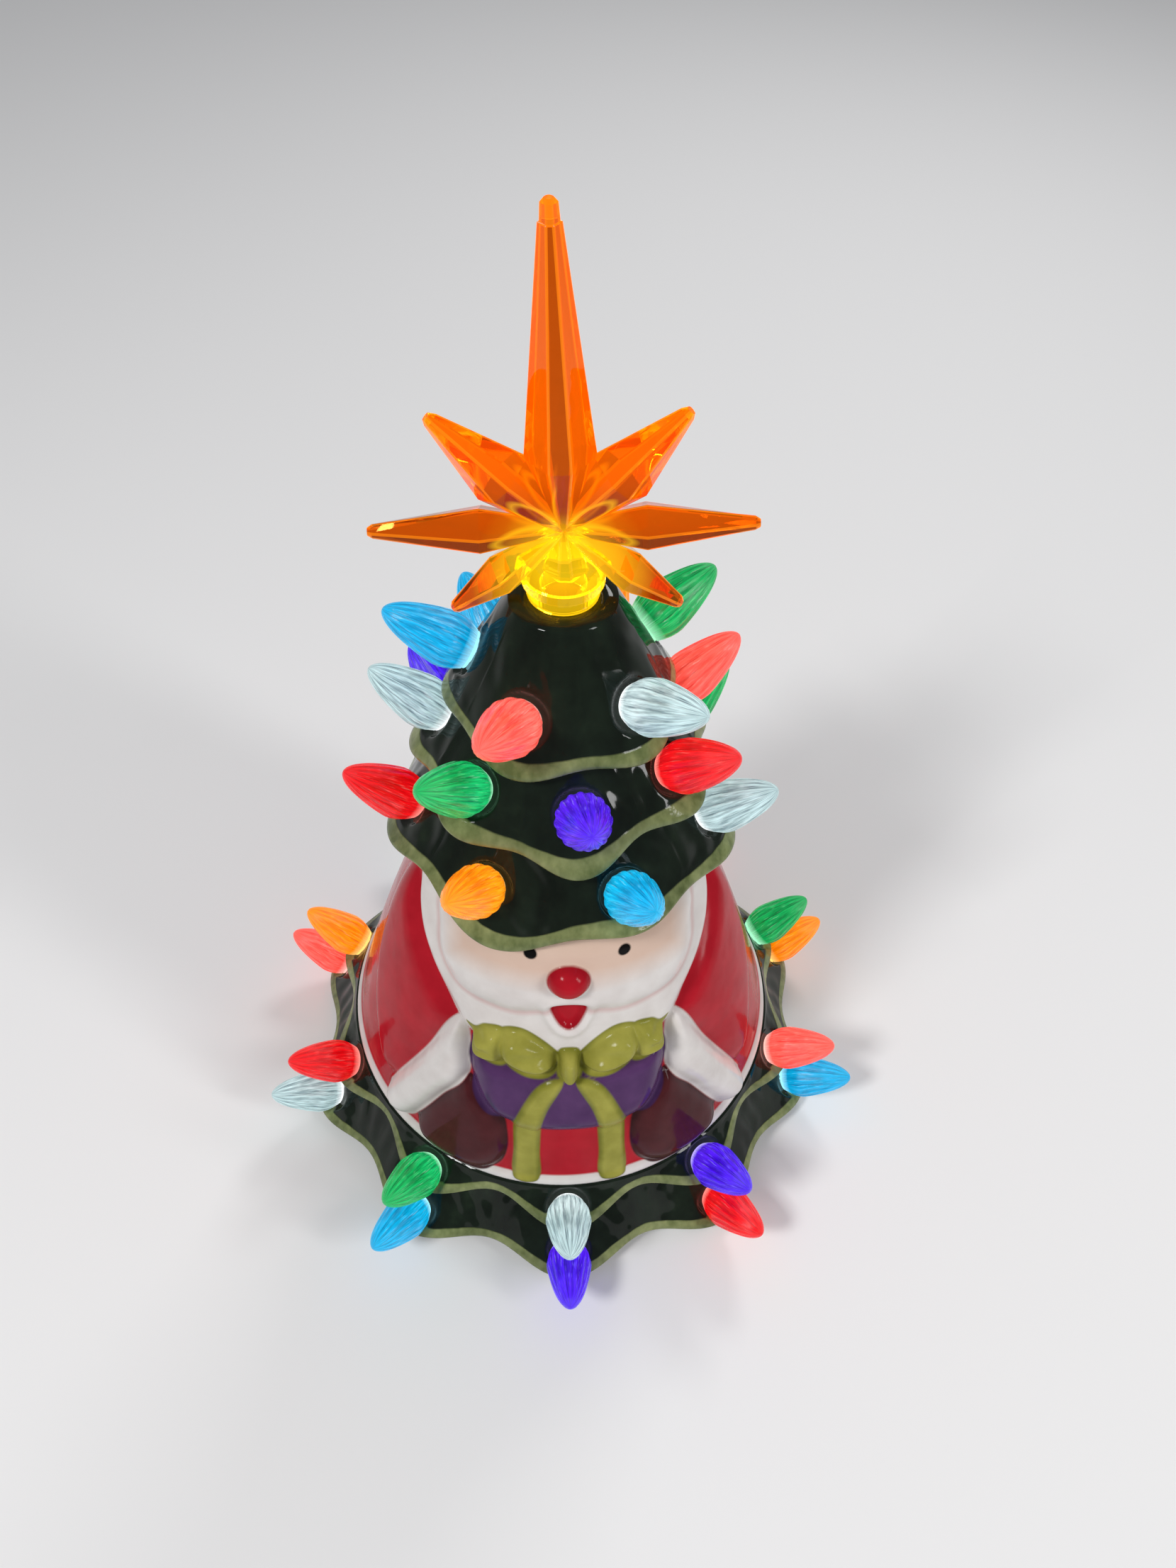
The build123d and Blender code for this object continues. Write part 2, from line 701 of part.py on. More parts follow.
def build():
    """Every node by name: one solid, or a list of alike solids."""
    nodes = {
        "base_skirt": base_skirt(),
        "santa_body": santa_body(),
        "tree_hat": tree_hat(),
        "star_topper": star_topper(),
        "bottom_plate": bottom_plate(),
        "battery_door": battery_door(),
        "battery_box": battery_box(),
        "aa_cells": aa_cells(),
        "battery_contacts": battery_contacts(),
        "box_screws": [
            screw(plate_top + ear_height, ear_height + plate_thickness - slip_gap, x, y)
            for x, y in ear_places
        ],
        "switch_body": switch_body(),
        "switch_slider": switch_slider(),
        "lamp_post": lamp_post(),
        "post_screws": [
            screw(box_top + post_flange, post_flange + box_wall, p.X, p.Y) for p in post_screw_places()
        ],
        "hat_led_board": upright(hat_board_radius, post_top, post_top + board_thickness),
        "hat_leds": hat_leds(),
        "base_led_board": upright(base_board_radius, box_top, box_top + board_thickness)
        - upright(base_board_inner(), box_top, box_top + board_thickness),
        "base_leds": base_leds(),
        "led_leads": led_leads(),
        "foot_pads": [
            upright(pad_radius, 0, pad_thickness, p.X, p.Y)
            for p in (polar(pad_circle, pad_turn + 360 * i / pad_count, 0) for i in range(pad_count))
        ],
    }
    one_bulb = bulb()
    for tier in (*hat_tiers, *skirt_tiers):
        for number, seat in enumerate(tier.seats(), start=1):
            nodes[f"{tier.name}_bulb_{number}"] = seat * one_bulb
    return nodes


os.makedirs("parts", exist_ok=True)
for name, shape in build().items():
    if isinstance(shape, list):
        shape = Compound(children=shape)
    shape.label = name
    export_step(shape, f"parts/{name}.step")
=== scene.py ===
# %% [markdown]
# # A lighted ceramic tree, worn as a hat
# The object is three glazed castings: a scalloped skirt, a gift-holding figure and a three-tier tree that
# is the figure's hat. Fluted plastic bulbs push into sockets in skirt and hat, and a clear amber star
# stands on top. The frame brings every CAD part at its real size, so this lesson only has to give the
# castings, bulbs and star their true surfaces, and every other part a finish.

# %% Load the frame
import json
from math import cos, hypot, pi, radians, sin

import bmesh
import bpy
import numpy as np
from mathutils import Matrix, Vector


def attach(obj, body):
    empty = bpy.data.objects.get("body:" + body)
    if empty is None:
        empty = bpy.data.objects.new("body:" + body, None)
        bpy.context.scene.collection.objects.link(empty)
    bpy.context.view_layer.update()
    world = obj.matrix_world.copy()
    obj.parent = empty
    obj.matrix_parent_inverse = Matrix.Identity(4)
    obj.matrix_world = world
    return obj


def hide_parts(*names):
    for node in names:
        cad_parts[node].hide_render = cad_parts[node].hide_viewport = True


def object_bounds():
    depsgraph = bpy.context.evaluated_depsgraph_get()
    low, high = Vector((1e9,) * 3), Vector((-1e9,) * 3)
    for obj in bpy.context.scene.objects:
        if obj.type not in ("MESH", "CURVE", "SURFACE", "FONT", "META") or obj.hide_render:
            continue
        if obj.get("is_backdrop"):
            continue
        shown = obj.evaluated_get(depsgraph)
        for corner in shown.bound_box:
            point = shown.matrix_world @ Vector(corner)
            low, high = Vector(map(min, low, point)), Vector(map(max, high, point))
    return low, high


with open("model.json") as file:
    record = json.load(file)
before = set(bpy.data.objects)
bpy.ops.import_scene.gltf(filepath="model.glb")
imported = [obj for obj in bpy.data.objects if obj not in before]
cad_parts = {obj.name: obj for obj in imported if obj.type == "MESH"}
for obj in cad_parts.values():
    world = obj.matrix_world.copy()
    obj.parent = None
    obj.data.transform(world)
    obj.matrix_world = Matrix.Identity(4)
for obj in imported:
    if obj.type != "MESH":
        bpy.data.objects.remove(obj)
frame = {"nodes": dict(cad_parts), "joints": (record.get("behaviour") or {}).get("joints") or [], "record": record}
cad_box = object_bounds()
MM = 0.001
slot_of = {part["node"]: part["material_slot"] for part in frame["record"]["subparts"]}
bulb_nodes = [node for node, slot in slot_of.items() if slot.startswith("bulb_")]
print("frame:", len(frame["nodes"]), "nodes, of which", len(bulb_nodes), "are bulbs")

# %% [markdown]
# ## Camera
# The photograph looks down on the tree from close by. Its camera was solved from the places of the bulbs,
# so the numbers here are a place in the frame, three angles and a focal length in photo pixels. A lens in
# millimetres follows from that, because Blender's sensor width belongs to the longer side of the picture.

# %% Set the camera where the photograph was taken
PHOTO_HEIGHT = 2212
PHOTO_FOCAL = 1663
SENSOR_WIDTH = 36
CAMERA_PLACE = Vector((0, -187, 363.5)) * MM
CAMERA_PITCH, CAMERA_YAW, CAMERA_ROLL = radians(50.9), radians(1.97), radians(1.8)

camera = bpy.data.objects.new("camera", bpy.data.cameras.new("camera"))
camera.data.sensor_width = SENSOR_WIDTH
camera.data.lens = SENSOR_WIDTH * PHOTO_FOCAL / PHOTO_HEIGHT
camera.matrix_world = (
    Matrix.Translation(CAMERA_PLACE)
    @ Matrix.Rotation(-CAMERA_YAW, 4, "Z")
    @ Matrix.Rotation(pi / 2 - CAMERA_PITCH, 4, "X")
    @ Matrix.Rotation(CAMERA_ROLL, 4, "Z")
)
camera.data.clip_start = 0.01
scene = bpy.context.scene
scene.collection.objects.link(camera)
scene.camera = camera
scene.view_settings.view_transform = "Standard"
print("camera lens:", round(camera.data.lens, 2), "mm")

# %% [markdown]
# ## Shader maths
# A material is a net of nodes, and nets are slow to read. One small class lets a node's output be written
# as a value: adding or multiplying two of them adds a Math node, and any other node is made by one method.


# %% A value in a material's nodes
class Wire:
    """One output of a node, written as a value."""

    def __init__(self, tree, socket=None):
        self.tree = tree
        self.socket = socket

    def node(self, kind, settings=None, inputs=None, output=0):
        """Adds a node, with its settings first and then the values or links of its inputs."""
        made = self.tree.nodes.new("ShaderNode" + kind)
        for name, value in (settings or {}).items():
            if name == "stops":
                ramp = made.color_ramp.elements
                while len(ramp) < len(value):
                    ramp.new(1)
                for stop, (place, colour) in zip(ramp, value):
                    stop.position, stop.color = place, (*colour, 1)
            else:
                setattr(made, name, value)
        for name, value in (inputs or {}).items():
            if isinstance(value, Wire):
                self.tree.links.new(value.socket, made.inputs[name])
            else:
                made.inputs[name].default_value = value
        return Wire(self.tree, made.outputs[output])

    def math(self, operation, *values, clamp=False):
        return self.node("Math", {"operation": operation, "use_clamp": clamp}, dict(enumerate(values)))

    def __add__(self, other):
        return self.math("ADD", self, other)

    def __sub__(self, other):
        return self.math("SUBTRACT", self, other)

    def __mul__(self, other):
        return self.math("MULTIPLY", self, other)

    def __truediv__(self, other):
        return self.math("DIVIDE", self, other)

    def __radd__(self, other):
        return self.math("ADD", other, self)

    def __rsub__(self, other):
        return self.math("SUBTRACT", other, self)

    def __rmul__(self, other):
        return self.math("MULTIPLY", other, self)

    def __abs__(self):
        return self.math("ABSOLUTE", self)

    def clamped(self):
        return self.math("ADD", self, 0, clamp=True)

    def mix(self, first, second):
        """A colour that goes from first to second as this value goes from 0 to 1."""
        first, second = (c if isinstance(c, Wire) else (*c, 1) for c in (first, second))
        return self.node("Mix", {"data_type": "RGBA"}, {0: self, 6: first, 7: second}, output=2)


print("shader maths ready")

# %% [markdown]
# Every finish below starts the same way: a new material with one Principled shader, its constant sockets
# set directly, and a value from which patterns grow. Patterns read Object coordinates in metres, so a
# noise of scale 400 has features of about 2.5 mm on every piece.


# %% Helpers that all finishes use
def new_finish(name, **constants):
    """A material, its shader, and a Wire to grow nodes from."""
    material = bpy.data.materials.new(name)
    material.use_nodes = True
    shader = material.node_tree.nodes["Principled BSDF"]
    for socket, value in constants.items():
        shader.inputs[socket.replace("_", " ")].default_value = value
    return material, shader, Wire(material.node_tree)


def feed(shader, socket, wire):
    wire.tree.links.new(wire.socket, shader.inputs[socket])


def noise(wire, scale, detail=2.0, stretch=(1, 1, 1)):
    """Noise on the piece's own place, from 0 to 1."""
    place = wire.node("TexCoord", output="Object")
    place = wire.node("Mapping", inputs={"Vector": place, "Scale": stretch})
    return wire.node("TexNoise", inputs={"Vector": place, "Scale": scale, "Detail": detail})


def attribute(wire, name, output="Fac"):
    return wire.node("Attribute", {"attribute_name": name}, output=output)


def within(distance, softness):
    """1 where a distance in millimetres is inside its edge, 0 outside, with a soft edge."""
    return (distance / softness + 0.5).clamped()


def bumped(wire, shader, height, depth):
    """Feeds a height from 0 to 1 to the shader as a relief of that depth in metres."""
    bump = wire.node("Bump", inputs={"Height": height, "Distance": depth})
    feed(shader, "Normal", bump)


print("finish helpers ready")

# %% [markdown]
# ## Floor and light
# Glaze shows what is around it, so a bright sky would turn the dark tree grey. Most of the light therefore
# comes from three soft lamps, each of which leaves one clean highlight. The floor is pale paper. To the
# camera, to reflections and through clear plastic it shows a little paler than it is lit, and it keeps the
# shadow.

# %% Floor
FLOOR_HALF = 4.0
FLOOR_COLOUR, FLOOR_LIFT = (0.86, 0.855, 0.85), 0.06


def floor_paper():
    material, shader, wire = new_finish(
        "floor_paper", Base_Color=(*FLOOR_COLOUR, 1), Roughness=0.85, Emission_Strength=FLOOR_LIFT
    )
    looks = [wire.node("LightPath", output=f"Is {ray} Ray") for ray in ("Camera", "Glossy", "Transmission")]
    feed(shader, "Emission Color", sum(looks[1:], looks[0]).clamped().mix((0, 0, 0), FLOOR_COLOUR))
    return material


def mesh_from(bm, name):
    """Turns a bmesh into a mesh, and frees the bmesh."""
    mesh = bpy.data.meshes.new(name)
    bm.to_mesh(mesh)
    bm.free()
    return mesh


sheet = bmesh.new()
bmesh.ops.create_grid(sheet, x_segments=1, y_segments=1, size=FLOOR_HALF)
floor_mesh = mesh_from(sheet, "floor")
floor_mesh.materials.append(floor_paper())
floor = bpy.data.objects.new("floor", floor_mesh)
scene.collection.objects.link(floor)
floor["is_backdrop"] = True
print("floor of", 2 * FLOOR_HALF, "m")

# %% Sky and lamps
SKY_COLOUR, SKY_STRENGTH = (0.93, 0.95, 1.0, 1), 0.24
TREE_MIDDLE = Vector((0, 0, 130)) * MM
LAMPS = {
    # name: place in metres, width, height in metres, power in watts
    "key_lamp": ((-0.55, -0.50, 0.95), 0.20, 0.20, 6.0),
    "fill_lamp": ((0.75, -0.45, 0.60), 0.14, 0.50, 3.6),
    "back_lamp": ((0.35, 0.75, 0.80), 0.34, 0.20, 2.6),
}
sky = bpy.data.worlds.new("sky")
sky.use_nodes = True
sky.node_tree.nodes["Background"].inputs["Color"].default_value = SKY_COLOUR
sky.node_tree.nodes["Background"].inputs["Strength"].default_value = SKY_STRENGTH
scene.world = sky
for name, (place, width, height, power) in LAMPS.items():
    lamp = bpy.data.lights.new(name, "AREA")
    lamp.shape, lamp.size, lamp.size_y, lamp.energy = "RECTANGLE", width, height, power
    stand = bpy.data.objects.new(name, lamp)
    stand.location = place
    stand.rotation_euler = (TREE_MIDDLE - stand.location).to_track_quat("-Z", "Y").to_euler()
    scene.collection.objects.link(stand)
print("lamps:", ", ".join(LAMPS))

# %% [markdown]
# ## Turned shells
# Hat, skirt, figure and bulbs are all round at heart, so each starts as an outline that is spun about the
# Z axis. Values that belong to a point of the outline, such as which tier it is on, ride along as vertex
# layers and can be read later, by the shaping code or by a material.


# %% Spin an outline, and make a mesh a piece
MERGE_DISTANCE = 1e-4


def spun(outline, steps, layer_names=(), closed=True):
    """Spins (radius, height, *layer values) points about Z, in millimetres."""
    bm = bmesh.new()
    layers = [bm.verts.layers.float.new(name) for name in layer_names]
    points = []
    for radius, height, *values in outline:
        point = bm.verts.new((0, -radius, height))
        for layer, value in zip(layers, values):
            point[layer] = value
        points.append(point)
    pairs = zip(points, points[1:] + points[:1]) if closed else zip(points, points[1:])
    edges = [bm.edges.new(pair) for pair in pairs]
    bmesh.ops.spin(
        bm, geom=points + edges, cent=(0, 0, 0), axis=(0, 0, 1), angle=2 * pi, steps=steps, use_merge=True
    )
    bmesh.ops.remove_doubles(bm, verts=bm.verts, dist=MERGE_DISTANCE)
    bmesh.ops.recalc_face_normals(bm, faces=bm.faces)
    return bm


def piece(name, mesh, finish, body, node, smooth=True):
    """A mesh in millimetres becomes a piece in metres that stands for its CAD node."""
    mesh.transform(Matrix.Scale(MM, 4))
    mesh.polygons.foreach_set("use_smooth", [smooth] * len(mesh.polygons))
    mesh.materials.append(finish)
    made = bpy.data.objects.new(name, mesh)
    scene.collection.objects.link(made)
    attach(made, body)
    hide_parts(node)
    print(name, "-", len(mesh.polygons), "faces on body", body)


print("turning helpers ready")

# %% [markdown]
# A shell has many thousands of vertices, and Python is slow at visiting them one by one. Moved as one array
# they take a moment, so a few helpers read a mesh into arrays and write it back.


# %% Read and write a mesh as arrays
def places(mesh):
    """The vertices of a mesh as an array."""
    found = np.empty(len(mesh.vertices) * 3)
    mesh.vertices.foreach_get("co", found)
    return found.reshape(-1, 3)


def layer_of(mesh, name):
    found = np.empty(len(mesh.vertices))
    mesh.attributes[name].data.foreach_get("value", found)
    return found


def set_layer(mesh, name, values, domain="POINT"):
    """Stores one number, or one vector, per vertex or face."""
    values = np.asarray(values, np.float32)
    kind, field = ("FLOAT", "value") if values.ndim == 1 else ("FLOAT_VECTOR", "vector")
    layer = mesh.attributes.get(name) or mesh.attributes.new(name, kind, domain)
    layer.data.foreach_set(field, values.ravel())


def round_z(mesh):
    """Azimuth from the front, radius and height of every vertex."""
    co = places(mesh)
    return np.arctan2(co[:, 0], -co[:, 1]), np.hypot(co[:, 0], co[:, 1]), co[:, 2]


def from_round_z(azimuth, radius, height):
    return np.stack((radius * np.sin(azimuth), -radius * np.cos(azimuth), height), axis=1)


def ramp(value, low, high):
    """0 below low, 1 above high, smooth between."""
    t = np.clip((value - low) / (high - low), 0, 1)
    return t * t * (3 - 2 * t)


print("array helpers ready")

# %% [markdown]
# ## Where the bulbs sit
# Each bulb slides along its own axis, so its joint says which way it points. Its tip is the CAD vertex
# furthest along that axis, and the seat lies one bulb length behind the tip.

# %% Find every seat
BULB_LENGTH = 22.0
axis_of = {joint["child"]: Vector(joint["axis"]) for joint in frame["joints"]}
seats = {}
for node in bulb_nodes:
    axis = axis_of[node]
    tip = max((v.co for v in frame["nodes"][node].data.vertices), key=axis.dot)
    seats[node] = (tip / MM - axis * BULB_LENGTH, axis)
print("seats:", len(seats), "- first at", tuple(round(v, 1) for v in seats[bulb_nodes[0]][0]))

# %% [markdown]
# ## Tiers
# A tier is a skirt of clay: from its neck it runs down and out to a rim, and the rim swells into lobes that
# also droop. The swell grows with the square of the way down, so the neck stays round. Spinning a round
# outline and then pushing its vertices by that rule keeps rim, underside and trim in step. The clay was cut
# by hand, so the two lower rims of the hat hang unevenly at the front: a few places round each rim say how
# far it is lifted there, and the lift is averaged over a small turn, to leave no kinks.

# %% One tier
HANG_BLUR = np.linspace(-8, 8, 9)  # turns in degrees, over which the lift is averaged


class Tier:
    def __init__(self, lobes, turn, neck, rim, reach, droop, trim, hang=((0, 0),)):
        self.lobes, self.turn = lobes, radians(turn)
        self.neck, self.rim = np.array(neck), np.array(rim)
        self.reach, self.droop = reach, droop
        self.trim = trim  # width of the painted edge in a valley and on a lobe
        self.hang = hang  # azimuth in degrees and lift in mm, round the front of the rim

    def at(self, share):
        return self.neck + (self.rim - self.neck) * share

    def swell(self, azimuth):
        """0 in the valleys, 1 on the lobes."""
        return (1 + np.cos(self.lobes * (azimuth - self.turn))) / 2

    def push(self, azimuth):
        """How far the rim moves outwards and down at an azimuth."""
        swell = self.swell(azimuth)
        lift = [np.interp(np.degrees(azimuth) + turn, *zip(*self.hang)) for turn in HANG_BLUR]
        return self.reach * swell, self.droop * swell - np.mean(lift, axis=0)

    def trim_width(self, azimuth):
        valley, lobe = self.trim
        return valley + (lobe - valley) * self.swell(azimuth)

    def across(self, azimuth):
        """Angle from the middle of the nearest lobe."""
        pitch = 2 * pi / self.lobes
        return (azimuth - self.turn + pitch / 2) % pitch - pitch / 2


MID_HANG = [
    (-75, 0), (-48, 3.4), (-36, 1.6), (-20, -4.0), (-10, -4.0), (3, -2.2), (15, -1.2), (33, -2.0), (45, 0),
    (58, 2.4), (80, 0),
]
LOW_HANG = [
    (-85, 0), (-60, 3.5), (-45, 5.5), (-36, 4.5), (-27, 0.6), (-18, -2.8), (-8, -4.2), (0, -0.6), (9, 4.6),
    (21, 7.0), (33, 4.0), (50, 2.0), (70, 2.0), (95, 0),
]
HAT = [
    # lobes, turn in degrees, (radius, height) of neck and rim, reach and droop of a lobe
    Tier(5, -24.4, (11.5, 196.5), (26.0, 168.5), 2.5, 2.5, trim=(3.6, 4.8)),
    Tier(7, 8.0, (20.5, 168.5), (33.5, 150.5), 4.5, 4.0, trim=(3.6, 5.6), hang=MID_HANG),
    Tier(7, -28.4, (27.5, 150.5), (42.0, 125.5), 3.5, 3.0, trim=(3.9, 5.4), hang=LOW_HANG),
]
SKIRT = [
    Tier(10, 1.8, (64.8, 31.0), (67.0, 26.0), 7.5, 4.5, trim=(3.4, 3.8)),
    Tier(10, 1.8, (63.5, 26.0), (75.0, 8.5), 7.5, 4.0, trim=(3.6, 4.0)),
]
print("tiers:", len(HAT), "in the hat,", len(SKIRT), "in the skirt")

# %% [markdown]
# The outline of a stack of tiers runs down each outside, rolls round the rim, goes back under it to the
# crease of the next tier, and at last closes along the inside wall.

# %% Outline of a stack of tiers
RIM_THICKNESS = 3.0
CREASE_SHARE = 0.1
ROLL_STEPS, UNDER_STEPS = 8, 6
TIER_LAYERS = ("tier", "sway")


def tier_outline(tiers, foot, rows):
    """Down the outside of all tiers: (radius, height, tier, share of the rim's push)."""
    outline = []
    for number, tier in enumerate(tiers):
        length = np.linalg.norm(tier.rim - tier.neck)
        down = (tier.rim - tier.neck) / length
        inward = np.array((down[1], -down[0]))
        last = 1 - RIM_THICKNESS / 2 / length
        for share in np.linspace(CREASE_SHARE * (number > 0), last, rows[number]):
            outline.append((*tier.at(share), number, share**2))
        middle = tier.at(last) + inward * RIM_THICKNESS / 2
        for step in range(1, ROLL_STEPS):
            angle = pi * step / ROLL_STEPS
            place = middle + RIM_THICKNESS / 2 * (down * sin(angle) - inward * cos(angle))
            outline.append((*place, number, 1))
        under = tiers[number + 1].at(CREASE_SHARE) if number + 1 < len(tiers) else np.array(foot)
        start = middle + inward * RIM_THICKNESS / 2
        for share in np.arange(UNDER_STEPS) / UNDER_STEPS:
            outline.append((*(start + (under - start) * share), number, (1 - share) ** 2))
    return outline


print("tier outline ready")

# %% [markdown]
# The push is done on arrays. Besides the lobes, a tier gets shallow ribs that fan out from each lobe's
# middle, as needles do on a bough, half drowned in glaze. At each bulb seat the skin is pressed flat and a
# socket is pushed in, so a pulled bulb leaves a real hole.

# %% Ribs, seats and sockets
RIB_PITCH, RIB_FAN, RIB_FALL = 6.0, 0.9, 0.35
RIB_WANDER = [(0.21, 0.13, 0), (-0.11, 0.37, 1)]  # waves: turn per mm across, turn per mm down, phase
SEAT_RADIUS, SEAT_BLEND, SEAT_REACH = 5.6, 1.2, 7.0
SOCKET_RADIUS, SOCKET_EDGE, SOCKET_DEPTH = 2.9, 0.3, 7.3


def ribs(across, down):
    """Height of the ribs, from -1 to 1, so many mm from a lobe's middle and down from the neck."""
    wander = sum(np.sin(a * across + b * down + phase) for a, b, phase in RIB_WANDER)
    return np.sin(2 * pi * (RIB_FAN * np.abs(across) - RIB_FALL * down) / RIB_PITCH + wander)


def press_seats(co, nodes):
    """Flattens a seat and pushes in a socket for each bulb, and says which vertices are in a socket."""
    hollow = np.zeros(len(co))
    for node in nodes:
        seat, axis = (np.array(v) for v in seats[node])
        along = (co - seat) @ axis
        away = np.linalg.norm(co - seat - np.outer(along, axis), axis=1)
        near = (along < SEAT_REACH) & (along > -RIM_THICKNESS / 2)
        flat = near * (1 - ramp(away, SEAT_RADIUS, SEAT_RADIUS + SEAT_BLEND))
        hole = near * (1 - ramp(away, SOCKET_RADIUS - SOCKET_EDGE, SOCKET_RADIUS + SOCKET_EDGE))
        co -= np.outer(flat * along + hole * SOCKET_DEPTH, axis)
        hollow = np.maximum(hollow, hole)
    return hollow


print("ribs every", RIB_PITCH, "mm, sockets", SOCKET_DEPTH, "mm deep")

# %% [markdown]
# The rules are applied tier by tier. Each vertex also keeps how far it lies inside the painted edge, and
# whether it is in a socket, because the glaze needs to know both: it darkens the sockets with painted shade.

# %% Shape a spun stack of tiers
RIB_DEPTH, RIB_FADE, RIB_NECK = 0.15, 3.0, (0.01, 0.1)  # ribs fade out at the painted edge and at the neck


def shape_tiers(mesh, tiers, nodes):
    """Lobes, ribs, seats and sockets, and the layers that the glaze reads."""
    azimuth, radius, height = round_z(mesh)
    number, sway = layer_of(mesh, "tier").round().astype(int), layer_of(mesh, "sway")
    trim = np.full(len(azimuth), -RIM_THICKNESS)
    for index, tier in enumerate(tiers):
        on = number == index
        outwards, downwards = tier.push(azimuth)
        radius = radius + on * sway * outwards
        height = height - on * sway * downwards
        rim_radius, rim_height = tier.rim[0] + outwards, tier.rim[1] - downwards
        edge_away = np.hypot(radius - rim_radius, height - rim_height)
        width = tier.trim_width(azimuth)
        trim = np.where(on, width - edge_away, trim)
        rib = ribs(tier.across(azimuth) * radius, tier.neck[1] - height)
        skin = on * ramp(edge_away, width, width + RIB_FADE) * ramp(sway, *RIB_NECK)
        radius = radius + RIB_DEPTH * rib * skin
    co = from_round_z(azimuth, radius, height)
    set_layer(mesh, "hollow", press_seats(co, nodes))
    set_layer(mesh, "trim", trim)
    mesh.vertices.foreach_set("co", co.ravel())
    mesh.update()


print("tier shaper ready")

# %% [markdown]
# The tree glaze is so dark a green that it reads as black. It is thin on ridges, where a little green shows,
# and edging in pale olive is brushed along every rim. The glaze is glossy, and slow waves in it make the
# reflections swim.

# %% Tree glaze
TREE_DARKS = [
    # share of thin glaze, colour there
    (0.35, (0.005, 0.008, 0.005)), (0.60, (0.010, 0.017, 0.010)), (0.80, (0.020, 0.034, 0.018)),
]
OLIVES = (0.105, 0.135, 0.044), (0.270, 0.305, 0.125)
# near black painted shade inside the sockets
SOCKET_PAINTED_SHADE = (0.004, 0.004, 0.004)
MOTTLE_SCALE, RUN_SCALE, BRUSH_SCALE, STROKE_SCALE, WANDER_SCALE, WAVE_SCALE = 260, 60, 420, 75, 110, 120
RUN_STRETCH, BRUSH_STRETCH, WAVE_STRETCH = (2.2, 2.2, 0.35), (1, 1, 0.5), (1, 1, 0.45)
RUN_SHARE, BRUSH_CONTRAST, STROKE_CONTRAST = 0.7, 1.7, 1.6
TRIM_WANDER, TRIM_SOFTNESS = 1.4, 0.5
TREE_ROUGHNESS, TRIM_ROUGHNESS, MOTTLE_ROUGHNESS = 0.04, 0.07, 0.05
WAVE_DEPTH, BRUSH_RELIEF = 0.0007, 0.15


def tree_glaze():
    material, shader, wire = new_finish("tree_glaze", Specular_IOR_Level=0.2)
    mottle = noise(wire, MOTTLE_SCALE, 3)
    thin = noise(wire, RUN_SCALE, 3, RUN_STRETCH) * RUN_SHARE + mottle * (1 - RUN_SHARE)
    dark = wire.node("ValToRGB", {"stops": TREE_DARKS}, {"Fac": thin})
    brush = noise(wire, BRUSH_SCALE, 3, BRUSH_STRETCH)
    sweep = (noise(wire, STROKE_SCALE, 2) - 0.5) * STROKE_CONTRAST
    stroke = ((brush - 0.5) * BRUSH_CONTRAST + sweep + 0.5).clamped()
    wander = (noise(wire, WANDER_SCALE, 2) - 0.5) * TRIM_WANDER
    trim = within(attribute(wire, "trim") + wander, TRIM_SOFTNESS)
    base = trim.mix(dark, stroke.mix(*OLIVES))
    # Sockets are painted near black: painted shade in the holes.
    feed(shader, "Base Color", attribute(wire, "hollow").mix(base, SOCKET_PAINTED_SHADE))
    feed(shader, "Roughness", TREE_ROUGHNESS + trim * TRIM_ROUGHNESS + mottle * MOTTLE_ROUGHNESS)
    waves = noise(wire, WAVE_SCALE, 1, WAVE_STRETCH)
    bumped(wire, shader, waves + brush * trim * BRUSH_RELIEF, WAVE_DEPTH)
    return material


tree_finish = tree_glaze()
print("finish:", tree_finish.name)

# %% [markdown]
# The hat is a slip casting: clay is poured into a mould and out again, which leaves a hollow shell. It could
# be modelled solid, but a spun outline with an inside wall costs no more, leaves room for the lamps and lets
# the sockets be real holes. The number of columns is a multiple of five and of seven, so all lobes of a tier
# are cut alike.

# %% Tree hat
HAT_STEPS, HAT_ROWS = 490, (46, 30, 40)
HAT_FOOT = (35.5, 127)
# the inside wall: radius, height and tier
HAT_WALL = [(35.5, 127, 2), (22.2, 127, 2), (22.2, 131.5, 2), (20.5, 148, 1), (14.5, 165, 0),
            (6.5, 186, 0), (5.3, 188, 0), (5.3, 196.5, 0)]
hat_outline = tier_outline(HAT, HAT_FOOT, HAT_ROWS) + [(*point, 0) for point in HAT_WALL]
hat_mesh = mesh_from(spun(hat_outline, HAT_STEPS, TIER_LAYERS), "tree_hat_glazed")
shape_tiers(hat_mesh, HAT, [n for n in bulb_nodes if n.startswith("hat_")])
piece("tree_hat_glazed", hat_mesh, tree_finish, "tree", "tree_hat")

# %% [markdown]
# The skirt is cast in the same way, wide and low, with two tiers of ten lobes and an open foot that the
# bottom plate closes. The same outline and the same push make it.

# %% Base skirt
SKIRT_STEPS, SKIRT_ROWS = 1000, (18, 28)
SKIRT_FOOT = (71.5, 1)
SKIRT_WALL = [(71.5, 1, 1), (67, 1, 1), (67, 4.3, 1), (66, 8, 1), (59, 23, 1), (59, 28, 0), (59, 31, 0)]
skirt_outline = tier_outline(SKIRT, SKIRT_FOOT, SKIRT_ROWS) + [(*point, 0) for point in SKIRT_WALL]
skirt_mesh = mesh_from(spun(skirt_outline, SKIRT_STEPS, TIER_LAYERS), "base_skirt_glazed")
shape_tiers(skirt_mesh, SKIRT, [n for n in bulb_nodes if n.startswith("base_")])
piece("base_skirt_glazed", skirt_mesh, tree_finish, "tree", "base_skirt")

# %% [markdown]
# ## The figure
# The figure is a soft cone with shallow relief: a bearded head under the hat's brim, sleeves with white
# cuffs, mittens round a parcel, and a bow. Sculpting by hand can't be repeated exactly, so each form is a
# closed curve drawn on the cone, in millimetres across from the figure's middle and up from its foot. How
# deep a place lies inside a curve gives both its relief and the edge of its paint.

